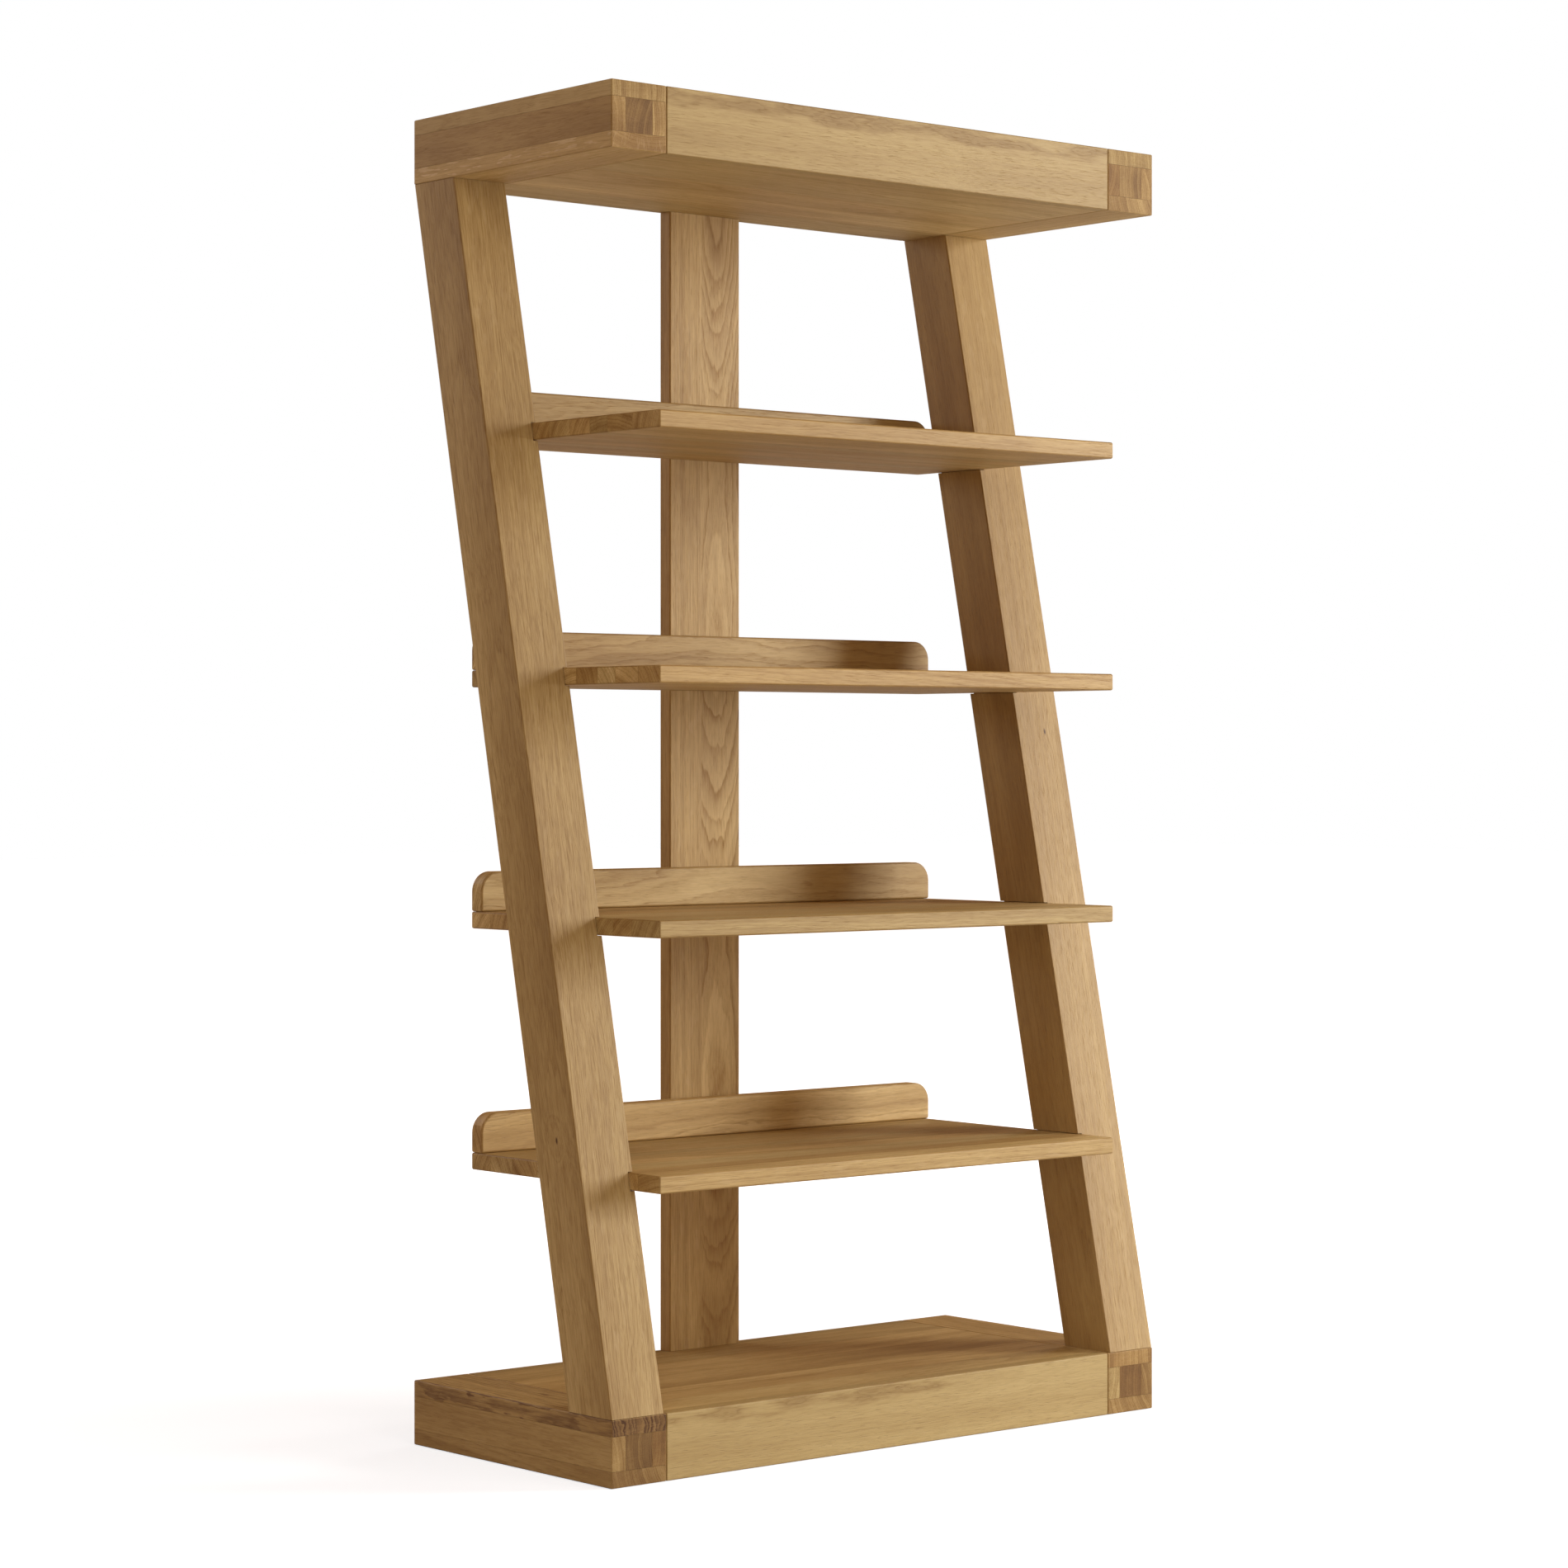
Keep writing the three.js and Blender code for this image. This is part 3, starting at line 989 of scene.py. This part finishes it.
@dataclass
class Dressing:
    """A piece's finish and the cuts of the staves that it is made of."""

    finish: OakFinish
    cuts: Sequence[Cut]
    axis: int = 0
    lines: Sequence[float] = ()
    round_axis: Optional[int] = None

    def stamp(self, piece: bpy.types.Object) -> None:
        """Writes each stave's place in its log, its tone and its eased edges, and adds the finish.

        Args:
            piece: the piece, in its final shape.
        """
        mesh = piece.data
        faces, loops = len(mesh.polygons), len(mesh.loops)
        points = read(mesh.vertices, "co", 3)
        centres = read(mesh.polygons, "center", 3)
        normals = read(mesh.polygons, "normal", 3)
        corner_points = points[read(mesh.loops, "vertex_index", 1, np.int32).ravel()]
        corner_faces = np.repeat(np.arange(faces), read(mesh.polygons, "loop_total", 1, np.int32).ravel())
        stave_of = np.searchsorted(np.array(self.lines, float), centres[:, self.axis])
        edges = [-math.inf, *self.lines, math.inf]
        low, high = points.min(0), points.max(0)

        place, tone = np.zeros((loops, 3)), np.zeros((loops, 3))
        for number, cut in enumerate(self.cuts):
            middle = (low + high) / 2
            first, last = max(edges[number], low[self.axis]), min(edges[number + 1], high[self.axis])
            middle[self.axis] = (first + last) / 2
            mine = stave_of[corner_faces] == number
            place[mine] = cut.place(corner_points[mine], middle)
            end = (np.abs(normals @ unit(cut.grain)) > END_GRAIN)[corner_faces][mine]
            tone[mine, 0] = np.where(end, cut.end_lightness, cut.lightness)
            # The fades add painted light and shade to the lightness of the legs and the post.
            tone[mine, 0] += cut.fade_across * (place[mine, 2] - cut.offset)
            tone[mine, 0] += cut.painted_shade_out * (place[mine, 1] - cut.pith)
            tone[mine, 0] += cut.fade_along * (place[mine, 0] - cut.shift)
            tone[mine, 1] = cut.redness
            tone[mine, 2] = end
        write(mesh, PLACE, "FLOAT_VECTOR", "vector", place)
        write(mesh, TONE, "FLOAT_VECTOR", "vector", tone)
        write(mesh, EASED, "FLOAT", "value", self._eased(normals)[corner_faces])
        mesh.materials.clear()
        mesh.materials.append(self.finish.material())

    def _eased(self, normals: np.ndarray) -> np.ndarray:
        """Finds the faces that belong to a rounded edge or a groove.

        Args:
            normals: each face's normal.

        Returns:
            For each face, 1 if it slopes between two of the piece's flat faces, or else 0.
        """
        if self.round_axis is not None:
            slope = np.abs(normals[:, self.round_axis])
            return ((slope > ROUNDED[0]) & (slope < ROUNDED[1])).astype(float)
        grain = unit(self.cuts[0].grain)
        side = np.eye(3)[int(np.argmin(np.abs(grain)))]
        third = np.cross(grain, side)
        flat = np.abs(normals @ np.stack([grain, side, third], axis=1)).max(axis=1)
        return (flat < FLAT).astype(float)


def read(items: bpy.types.bpy_prop_collection, name: str, width: int, kind: type = np.float32) -> np.ndarray:
    """Reads one property of every item of a mesh.

    Args:
        items: the mesh's vertices, loops or polygons.
        name: the property.
        width: how many numbers it has.
        kind: what kind of number.

    Returns:
        An array with a row for each item.
    """
    values = np.zeros(len(items) * width, kind)
    items.foreach_get(name, values)
    return values.reshape(-1, width)


def write(mesh: bpy.types.Mesh, name: str, kind: str, key: str, values: np.ndarray) -> None:
    """Stores values as a named attribute of a mesh, one for each face corner."""
    attribute = mesh.attributes.new(name, kind, "CORNER")
    attribute.data.foreach_set(key, np.ascontiguousarray(values, np.float32).ravel())


def stand_for(piece: bpy.types.Object, node: str) -> None:
    """Puts a finished piece on the frame in its node's stead.

    Args:
        piece: the piece.
        node: the node that it stands for.
    """
    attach(piece, BODY)
    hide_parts(node)
    log.info("%s stands for %s: %d faces", piece.name, node, len(piece.data.polygons))


def staves(name: str, low: float, high: float, count: int) -> list[float]:
    """Picks where the glue lines of a board run.

    Args:
        name: the board's name, which settles the chance part.
        low: the board's first edge.
        high: its last edge.
        count: how many staves it has.

    Returns:
        The places of its glue lines, from low to high.
    """
    chance = random.Random(name)
    widths = [chance.uniform(*STAVE_SHARES) for _ in range(count)]
    ends = np.cumsum(widths) / sum(widths)
    return [low + (high - low) * float(end) for end in ends[:-1]]


# ---------------------------------------------------------------------------------------------
# Sub-assemblies
# ---------------------------------------------------------------------------------------------


# How light each stave of an end beam is on its faces and on its end grain.
BEAM_TONES = {
    "base": {
        "left": {
            "upper": (0.90, 0.50),
            "lower": (0.90, 0.64),
            "outer": (0.98, 0.80),
            "core": (1.00, 0.47),
            "inner": (1.00, 0.51),
        },
        "right": {
            "upper": (0.98, 0.80),
            "lower": (0.95, 0.76),
            "outer": (1.00, 0.68),
            "core": (1.00, 0.47),
            "inner": (1.00, 0.92),
        },
    },
    "top": {
        "left": {
            "upper": (0.94, 0.80),
            "lower": (1.02, 0.70),
            "outer": (0.78, 0.74),
            "core": (1.00, 0.47),
            "inner": (1.00, 0.80),
        },
        "right": {
            "upper": (1.00, 0.78),
            "lower": (1.00, 0.78),
            "outer": (0.95, 0.70),
            "core": (1.00, 0.69),
            "inner": (1.00, 0.57),
        },
    },
}
# How light a slab's rails and its facing boards are. The top slab's facings are lighter, partly as painted
# light on its shaded underside, the face that is seen.
PANEL_LIGHTNESS = {"base": (0.985, 0.96), "top": (0.87, 1.09)}
SPECIAL_STAVES = {"base_left_upper_stave": RUSTIC_OAK, "top_left_lower_stave": CURLY_OAK}
# Where the bark was on each stave of an end beam, and on a stave sawn to show its rays.
BEAM_BARK = {
    "upper": (1, 0, 0.30),
    "lower": (-1, 0, -0.20),
    "outer": (1, 0, 0.15),
    "core": (-1, 0, 0.10),
    "inner": (1, 0, -0.25),
}
QUARTERED_BARK = {"top_left_lower_stave": (-0.10, 0, -1.0)}


@dataclass
class Slab:
    """A thick slab: rails and facing boards between two end beams glued up from staves."""

    end: str
    beam_tones: dict[str, dict[str, tuple[float, float]]]
    rail_lightness: float
    facing_lightness: float
    edge: float = 0.0020
    field_staves: int = 5
    rail_pith: float = 0.035
    rail_offset: float = 0.034
    beam_tilt: float = 0.25
    slots: dict[str, str] = field(default_factory=lambda: {"panel": "slab_oak", "beam": "end_beam_oak"})

    def build(self) -> None:
        """Builds every piece of the slab."""
        self._rails()
        self._facings()
        for side in ("left", "right"):
            self._beam(side)

    def _panel(self) -> Span:
        """Returns the box round the rails and facing boards."""
        names = ("front_rail", "back_rail", "upper_board", "lower_board")
        return Span.of(*(f"{self.end}_{name}" for name in names))

    def _rails(self) -> None:
        """Builds the rails, whose arches run under the upper edge of their outer faces."""
        for name, outward in (("front_rail", -1.0), ("back_rail", 1.0)):
            node = f"{self.end}_{name}"
            piece = plank(f"{node}_oak", Span.of(node))
            ease_outside(piece, self._panel(), self.edge)
            smooth(piece)
            cut = Cut(
                Grain.ALONG_SHELF.value,
                (0, outward, 0),
                pith=self.rail_pith,
                offset=-self.rail_offset * outward,
                taper=0.003,
                shift=3.1 + len(self.end) * outward,
                lightness=self.rail_lightness,
                redness=-0.3,
            )
            Dressing(RAIL_OAK, [cut]).stamp(piece)
            stand_for(piece, node)

    def _facings(self) -> None:
        """Builds the facing boards, each glued up from staves that run along the shelf."""
        for name, outward in (("upper_board", 1.0), ("lower_board", -1.0)):
            node = f"{self.end}_{name}"
            span = Span.of(node)
            piece = plank(f"{node}_oak", span)
            ease_outside(piece, self._panel(), self.edge)
            lines = staves(node, span.low.y, span.high.y, self.field_staves)
            score_glue_lines(piece, 1, lines)
            smooth(piece)
            along, bark = Grain.ALONG_SHELF.value, (0, 0, outward)
            cuts = [
                seeded_cut(f"{node} {number}", along, bark, self.facing_lightness)
                for number in range(self.field_staves)
            ]
            Dressing(BOARD_OAK, cuts, 1, lines).stamp(piece)
            stand_for(piece, node)

    def _beam(self, side: str) -> None:
        """Builds an end beam, whose staves show their end grain at the front and the back.

        Args:
            side: left or right.
        """
        tones = self.beam_tones[side]
        nodes = {name: f"{self.end}_{side}_{name}_stave" for name in tones}
        whole = Span.of(*nodes.values())
        for name, node in nodes.items():
            piece = plank(f"{node}_oak", Span.of(node))
            ease_outside(piece, whole, self.edge)
            smooth(piece)
            face, end = tones[name]
            bark = QUARTERED_BARK.get(node, BEAM_BARK[name])
            look = {"lightness": face, "spread": 0.0, "end_lightness": end, "tilt": self.beam_tilt}
            cut = seeded_cut(node, Grain.FRONT_TO_BACK.value, bark, **look)
            Dressing(SPECIAL_STAVES.get(node, BEAM_OAK), [cut]).stamp(piece)
            stand_for(piece, node)


LEG_OAK = {"left": LEFT_LEG_OAK, "right": RIGHT_LEG_OAK}
# Each leg's lightness, redness and fades. The fade out from the pith darkens the face that each leg turns to
# -X, away from the key light, and the left leg's fade along the grain darkens it towards its top, under the
# top slab: both painted shade. The left leg's fade across darkens it towards its front. The right leg's
# redness is partly painted warm light, reflected onto its shaded inner face.
LEG_TONES = {
    "left": {"lightness": 0.970, "fade_across": -2.9, "painted_shade_out": -0.7, "fade_along": -0.03},
    "right": {"lightness": 0.865, "redness": 0.15, "painted_shade_out": 1.4, "fade_along": 0.01},
}


@dataclass
class Leg:
    """A leaning leg, sawn level at both ends and housed for the shelves on its inner face."""

    side: str
    depth: float = 0.092
    edge: float = 0.0022
    clearance: float = 0.0009
    slope: float = 0.02
    slot: str = "leg_oak"

    def build(self) -> None:
        """Builds the leg."""
        node = f"{self.side}_leg"
        span = Span.of(node)
        lean = self._lean(span)
        grain = Vector((0, math.sin(lean), math.cos(lean)))
        piece = self._timber(node, span, lean)
        ease_where(piece, lambda _, way: abs(way.dot(grain)) > PARALLEL, self.edge)
        saw(piece, span.low, Vector((0, 0, -1)))
        saw(piece, span.high, Vector((0, 0, 1)))
        for number in SHELF_NUMBERS:
            cut_out(piece, plank("housing", self._housing(f"shelf_{number}")))
        smooth(piece)
        outward = -1.0 if self.side == "left" else 1.0
        cut = Cut(
            (self.slope, grain.y, grain.z),
            (outward, 0.12, 0),
            pith=0.16,
            offset=0.01,
            taper=0.006,
            shift=11.0 + 7 * outward,
            **LEG_TONES[self.side],
        )
        Dressing(LEG_OAK[self.side], [cut]).stamp(piece)
        stand_for(piece, node)

    def _lean(self, span: Span) -> float:
        """Returns the angle from upright, in radians, at which the timber just fills the leg's box."""
        run, height = span.size.y, span.size.z
        return math.acos(self.depth / math.hypot(run, height)) - math.atan2(height, run)

    def _timber(self, node: str, span: Span, lean: float) -> bpy.types.Object:
        """Sets a square timber at its lean, longer than the leg.

        Args:
            node: the leg's node.
            span: the box round the leg.
            lean: the angle from upright.

        Returns:
            The timber.
        """
        put_down()
        bpy.ops.mesh.primitive_cube_add(
            size=1,
            location=span.centre,
            rotation=(-lean, 0, 0),
            scale=(span.size.x, self.depth, 1.2 * span.size.z),
        )
        piece = bpy.context.object
        piece.name = piece.data.name = f"{node}_oak"
        bpy.ops.object.transform_apply(location=True, rotation=True, scale=True)
        return piece

    def _housing(self, shelf: str) -> Span:
        """Marks out the housing of a shelf's end.

        Args:
            shelf: the shelf's node.

        Returns:
            The box that is cut, a little larger than the shelf.
        """
        board = Span.of(shelf)
        room = Vector((self.clearance, self.clearance, self.clearance))
        return Span(board.low - room, board.high + room)


POST_OAK = {"left": STRAIGHT_OAK, "right": FIGURED_OAK}
# The post's staves are lighter than 1 and, through their fade along the grain, lighter towards the bottom:
# partly painted light for the dim lower bays behind the shelves.
POST_CUTS = {
    "left": Cut(
        Grain.UPRIGHT.value,
        (1, 0.25, 0),
        pith=0.12,
        taper=0.004,
        shift=2.0,
        lightness=1.04,
        redness=0.35,
        fade_along=-0.02,
    ),
    "right": Cut(
        Grain.UPRIGHT.value,
        (0, -1, 0),
        pith=0.056,
        offset=0.008,
        taper=-0.045,
        shift=6.8,
        lightness=1.07,
        redness=0.35,
        fade_along=-0.06,
    ),
}


@dataclass
class RearPost:
    """The flat post behind the shelves: a plain stave and one with cathedral arches."""

    edge: float = 0.0024
    screw_clearance: float = 0.0003
    bore: float = 0.0028
    cone: float = 0.0032
    proud: float = 0.002
    through: float = 0.040
    slot: str = "post_oak"

    def build(self) -> None:
        """Builds the two staves."""
        whole = Span.of("rear_post_left_stave", "rear_post_right_stave")
        for side, cut in POST_CUTS.items():
            node = f"rear_post_{side}_stave"
            span = Span.of(node)
            if side == "left":
                span.high.x = Span.of("rear_post_right_stave").low.x
            piece = plank(f"{node}_oak", span)
            outer = whole.low.x if side == "left" else whole.high.x
            ease_where(
                piece, lambda middle, way: abs(way.z) > PARALLEL and abs(middle.x - outer) < NEAR, self.edge
            )
            for number in SHELF_NUMBERS:
                cut_out(piece, self._countersink(f"shelf_{number}_screw_{side}"))
            smooth(piece)
            Dressing(POST_OAK[side], [cut]).stamp(piece)
            stand_for(piece, node)

    def _countersink(self, screw: str) -> bpy.types.Object:
        """Makes the cutter for a screw's hole.

        Args:
            screw: the screw's node.

        Returns:
            A turned shape along Y: the shank's bore, and a cone that opens to the back face.
        """
        span = Span.of(screw)
        head = span.size.x / 2 + self.screw_clearance
        put_down()
        bpy.ops.mesh.primitive_circle_add(
            vertices=32,
            radius=head,
            fill_type="NGON",
            location=(span.centre.x, span.high.y + self.proud, span.centre.z),
            rotation=(math.pi / 2, 0, 0),
        )
        cutter = bpy.context.object
        bpy.ops.object.transform_apply(location=True, rotation=True, scale=True)
        with editing(cutter, "FACE"):
            bpy.ops.mesh.select_all(action="SELECT")
            for travel, share in ((self.proud, 1.0), (self.cone, self.bore / head), (self.through, 1.0)):
                bpy.ops.mesh.extrude_region_move(TRANSFORM_OT_translate={"value": (0, -travel, 0)})
                bpy.ops.transform.resize(value=(share, 1, share))
            bpy.ops.mesh.select_all(action="SELECT")
            bpy.ops.mesh.normals_make_consistent(inside=False)
        return cutter


# Each backboard's lightness, redness and finish, from the top shelf down. The lowest backboard's high
# lightness is partly painted light for the dim low back of the shelf.
BACKBOARDS = (
    (1.00, 0.0, BOARD_OAK),
    (0.97, 0.2, FLAME_OAK),
    (1.05, 0.1, FLAME_OAK),
    (1.20, 0.4, FLAME_OAK),
)


@dataclass
class Shelf:
    """A shelf board glued up from staves, with its backboard."""

    number: int
    backboard_lightness: float
    backboard_redness: float
    backboard_oak: OakFinish
    stave_count: int = 9
    edge: float = 0.0028
    corner: float = 0.028
    corner_steps: int = 12
    lightness: float = 0.945
    end_lightness: float = 1.06
    tilt: float = 2.2
    backboard_end: float = 1.15
    backboard_spread: float = 0.02

    def build(self) -> None:
        """Builds the shelf board and the backboard on it."""
        self._board()
        self._backboard()

    def _board(self) -> None:
        """Builds the shelf board."""
        node = f"shelf_{self.number}"
        span = Span.of(node)
        piece = plank(f"{node}_oak", span)
        ease_sharp(piece, self.edge)
        lines = staves(node, span.low.y, span.high.y, self.stave_count)
        score_glue_lines(piece, 1, lines)
        smooth(piece)
        look = {"lightness": self.lightness, "tilt": self.tilt, "end_lightness": self.end_lightness}
        cuts = [
            seeded_cut(f"{node} {index}", Grain.ALONG_SHELF.value, (0, 0, 1), **look)
            for index in range(self.stave_count)
        ]
        Dressing(BOARD_OAK, cuts, 1, lines).stamp(piece)
        stand_for(piece, node)

    def _backboard(self) -> None:
        """Builds the backboard, with its upper corners rounded."""
        node = f"backboard_{self.number}"
        span = Span.of(node)
        piece = plank(f"{node}_oak", span)
        ease_where(
            piece,
            lambda middle, way: abs(way.y) > PARALLEL and middle.z > span.centre.z,
            self.corner,
            self.corner_steps,
        )
        ease_sharp(piece, self.edge)
        smooth(piece)
        cut = seeded_cut(
            node,
            Grain.ALONG_SHELF.value,
            (0, -1, 0),
            self.backboard_lightness,
            self.backboard_spread,
            end_lightness=self.backboard_end,
        )
        cut = replace(cut, redness=self.backboard_redness)
        Dressing(self.backboard_oak, [cut], round_axis=1).stamp(piece)
        stand_for(piece, node)


@dataclass
class Fixings:
    """The countersunk screws through the rear post, and the beech dowels inside the joints."""

    shank: float = 0.0025
    root: float = 0.0019
    cone: float = 0.0030
    tip: float = 0.0070
    pitch: float = 0.0030
    plain: float = 0.020
    slot_width: float = 0.0011
    slot_length: float = 0.0054
    slot_depth: float = 0.0017
    rim: float = 0.0004
    point: float = 0.0002
    fold: float = 35
    steps: int = 32

    def build(self) -> None:
        """Builds a screw for each screw node, and dresses the dowels."""
        nodes = sorted(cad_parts)
        screws = [name for name in nodes if "_screw_" in name]
        start = Span.of(screws[0])
        pattern = self._screw(start)
        copies = [self._copy(pattern, Span.of(node).centre - start.centre) for node in screws[1:]]
        for piece, node in zip([pattern, *copies], screws):
            piece.name = piece.data.name = f"{node}_turned"
            stand_for(piece, node)
        for node in (name for name in nodes if "_dowel_" in name):
            dowel = bpy.data.objects[node]
            dowel.data.materials.clear()
            dowel.data.materials.append(BEECH.material())

    def _screw(self, span: Span) -> bpy.types.Object:
        """Turns a screw that points to the front.

        Args:
            span: the box that it fills, with its head at the back.

        Returns:
            The screw.
        """
        head = span.size.x / 2
        put_down()
        bpy.ops.mesh.primitive_circle_add(
            vertices=self.steps,
            radius=head,
            fill_type="NGON",
            location=(span.centre.x, span.high.y, span.centre.z),
            rotation=(math.pi / 2, 0, 0),
        )
        piece = bpy.context.object
        bpy.ops.object.transform_apply(location=True, rotation=True, scale=True)
        turns = int((span.size.y - self.cone - self.plain - self.tip) / self.pitch)
        flank, valley = 0.35 * self.pitch, 0.30 * self.pitch
        cuts = [(self.rim, head), (self.cone, self.shank), (self.plain, self.shank)]
        cuts += turns * [(flank, self.root), (valley, self.root), (flank, self.shank)]
        rest = span.size.y - sum(travel for travel, _ in cuts)
        cuts += [(0.8 * rest, 0.35 * self.root), (0.2 * rest, self.point)]
        radius = head
        with editing(piece, "FACE"):
            bpy.ops.mesh.select_all(action="SELECT")
            for travel, wanted in cuts:
                bpy.ops.mesh.extrude_region_move(TRANSFORM_OT_translate={"value": (0, -travel, 0)})
                bpy.ops.transform.resize(value=(wanted / radius, 1, wanted / radius))
                radius = wanted
            bpy.ops.mesh.select_all(action="SELECT")
            bpy.ops.mesh.normals_make_consistent(inside=False)
        for size in ((self.slot_length, self.slot_width), (self.slot_width, self.slot_length)):
            reach = Vector((size[0] / 2, self.slot_depth, size[1] / 2))
            face = Vector((span.centre.x, span.high.y, span.centre.z))
            cut_out(piece, plank("recess", Span(face - reach, face + reach)))
        smooth(piece, self.fold)
        piece.data.materials.clear()
        piece.data.materials.append(ZINC.material())
        return piece

    def _copy(self, pattern: bpy.types.Object, move: Vector) -> bpy.types.Object:
        """Copies a screw, with its own mesh, to another place.

        Args:
            pattern: the screw that is copied.
            move: how far away the copy goes.

        Returns:
            The copy.
        """
        pick_up(pattern)
        bpy.ops.object.duplicate(linked=False)
        piece = bpy.context.object
        with editing(piece):
            bpy.ops.mesh.select_all(action="SELECT")
            bpy.ops.transform.translate(value=move)
        return piece


# ---------------------------------------------------------------------------------------------
# Studio
# ---------------------------------------------------------------------------------------------


@dataclass(frozen=True)
class Lamp:
    """A soft box that is aimed at the middle of the shelf."""

    name: str
    bearing: float
    elevation: float
    width: float
    height: float
    power: float
    distance: float = 6.0
    aim: tuple[float, float, float] = (0, 0, 0.9)

    def hang(self) -> None:
        """Adds the light. Its bearing is counted from the front to the right, in degrees."""
        data = bpy.data.lights.new(self.name, "AREA")
        data.shape = "RECTANGLE"
        data.size, data.size_y, data.energy = self.width, self.height, self.power
        bearing, elevation = math.radians(self.bearing), math.radians(self.elevation)
        level = math.cos(elevation)
        way = Vector((math.sin(bearing) * level, -math.cos(bearing) * level, math.sin(elevation)))
        lamp = bpy.data.objects.new(self.name, data)
        lamp.location = Vector(self.aim) + self.distance * way
        lamp.rotation_euler = way.to_track_quat("Z", "Y").to_euler()
        bpy.context.scene.collection.objects.link(lamp)


@dataclass
class Studio:
    """The pale floor, the soft lights, and a level camera at half the shelf's height."""

    standpoint: tuple[float, float, float] = (-3.6837, -4.3170, 0.9522)
    heading: float = math.radians(40.34)
    lens: float = 90.69
    rise: float = -0.0134
    floor_size: float = 60.0
    floor_colour: Colour = (0.75, 0.75, 0.75, 1)
    floor_near: Colour = (0.60, 0.64, 0.67, 1)
    floor_far: Colour = (1.0, 1.0, 1.0, 1)
    floor_drop: float = 0.0004
    floor_fade: tuple[float, float] = (0.6, 3.6)
    floor_roughness: tuple[float, float] = (0.8, 0.9)
    ambient: Colour = (1.0, 0.44, 0.15, 1)
    ambient_strength: float = 0.20
    lamps: Sequence[Lamp] = (
        Lamp("key", 54, 10, 1.7, 2.6, 272),
        Lamp("overhead", 0, 80, 2.4, 2.4, 78),
        Lamp("left_fill", -60, 45, 2.0, 2.0, 43),
        Lamp("front_fill", -15, 16, 2.0, 2.0, 36),
        Lamp("right_side", 110, 10, 2.4, 2.4, 60),
        Lamp("rear", 195, 20, 2.4, 2.4, 60),
    )

    def build(self) -> None:
        """Adds the camera, the lights, the surroundings and the floor."""
        self._camera()
        for lamp in self.lamps:
            lamp.hang()
        self._surroundings()
        self._floor()
        bpy.context.scene.view_settings.view_transform = "Standard"

    def _camera(self) -> None:
        """Adds the camera: level, turned to the right of the shelf's own front."""
        data = bpy.data.cameras.new("camera")
        data.lens, data.sensor_width, data.shift_y = self.lens, 36.0, self.rise
        data.clip_end = 100
        camera = bpy.data.objects.new("camera", data)
        camera.location = self.standpoint
        camera.rotation_euler = (math.pi / 2, 0, -self.heading)
        bpy.context.scene.collection.objects.link(camera)
        bpy.context.scene.camera = camera

    def _surroundings(self) -> None:
        """Gives the studio its warm even light, behind a plain white backdrop."""
        world = bpy.data.worlds.new("studio")
        world.use_nodes = True
        bpy.context.scene.world = world
        wires = Wiring(world.node_tree)
        light = world.node_tree.nodes["Background"]
        light.inputs["Color"].default_value = self.ambient
        light.inputs["Strength"].default_value = self.ambient_strength
        backdrop = wires.add("ShaderNodeBackground")
        backdrop.inputs["Color"].default_value = (1, 1, 1, 1)
        self._seen(wires, light.outputs[0], backdrop.outputs[0], world.node_tree.nodes["World Output"])

    def _seen(self, wires: Wiring, lights: Socket, shows: Socket, output: bpy.types.Node) -> None:
        """Ends a tree with one shader that lights the shelf and another that the camera sees.

        Args:
            wires: the tree's wiring.
            lights: the shader for all rays but the camera's.
            shows: the shader for the camera's rays.
            output: the tree's output node.
        """
        mix = wires.add("ShaderNodeMixShader")
        wires.feed(mix.inputs[0], wires.add("ShaderNodeLightPath").outputs["Is Camera Ray"])
        wires.feed(mix.inputs[1], lights)
        wires.feed(mix.inputs[2], shows)
        wires.feed(output.inputs["Surface"], mix.outputs[0])

    def _floor(self) -> None:
        """Lays the floor a hair below the shelf's underside, paler the farther it is."""
        put_down()
        bpy.ops.mesh.primitive_plane_add(size=self.floor_size, location=(0, 0, -self.floor_drop))
        floor = bpy.context.object
        floor.name = "studio_floor"
        material, wires, shader = new_material("pale_floor")
        shader.inputs["Base Color"].default_value = self.floor_colour
        place = wires.split(wires.add("ShaderNodeTexCoord").outputs["Object"])
        rough = wires.ramp(wires.noise(place, (9, 9, 9), 2.0), 0.2, 0.8, *self.floor_roughness)
        wires.feed(shader.inputs["Roughness"], rough)
        away = wires.math("SQRT", wires.math("ADD", *(wires.math("POWER", part, 2) for part in place[:2])))
        glow = wires.add("ShaderNodeEmission")
        colour = wires.blend(wires.ramp(away, *self.floor_fade), self.floor_near, self.floor_far)
        wires.feed(glow.inputs["Color"], colour)
        lit = wires.add("ShaderNodeAddShader")
        wires.feed(lit.inputs[0], shader.outputs[0])
        wires.feed(lit.inputs[1], glow.outputs[0])
        self._seen(wires, shader.outputs[0], lit.outputs[0], material.node_tree.nodes["Material Output"])
        floor.data.materials.append(material)


def main() -> None:
    """Builds the sub-assemblies in order."""
    logging.basicConfig(level=logging.INFO, format="%(name)s: %(message)s")
    Studio().build()
    for end, tones in BEAM_TONES.items():
        Slab(end, tones, *PANEL_LIGHTNESS[end]).build()
    for side in ("left", "right"):
        Leg(side).build()
    RearPost().build()
    for number, backboard in enumerate(BACKBOARDS, 1):
        Shelf(number, *backboard).build()
    Fixings().build()


if __name__ == "__main__":
    main()
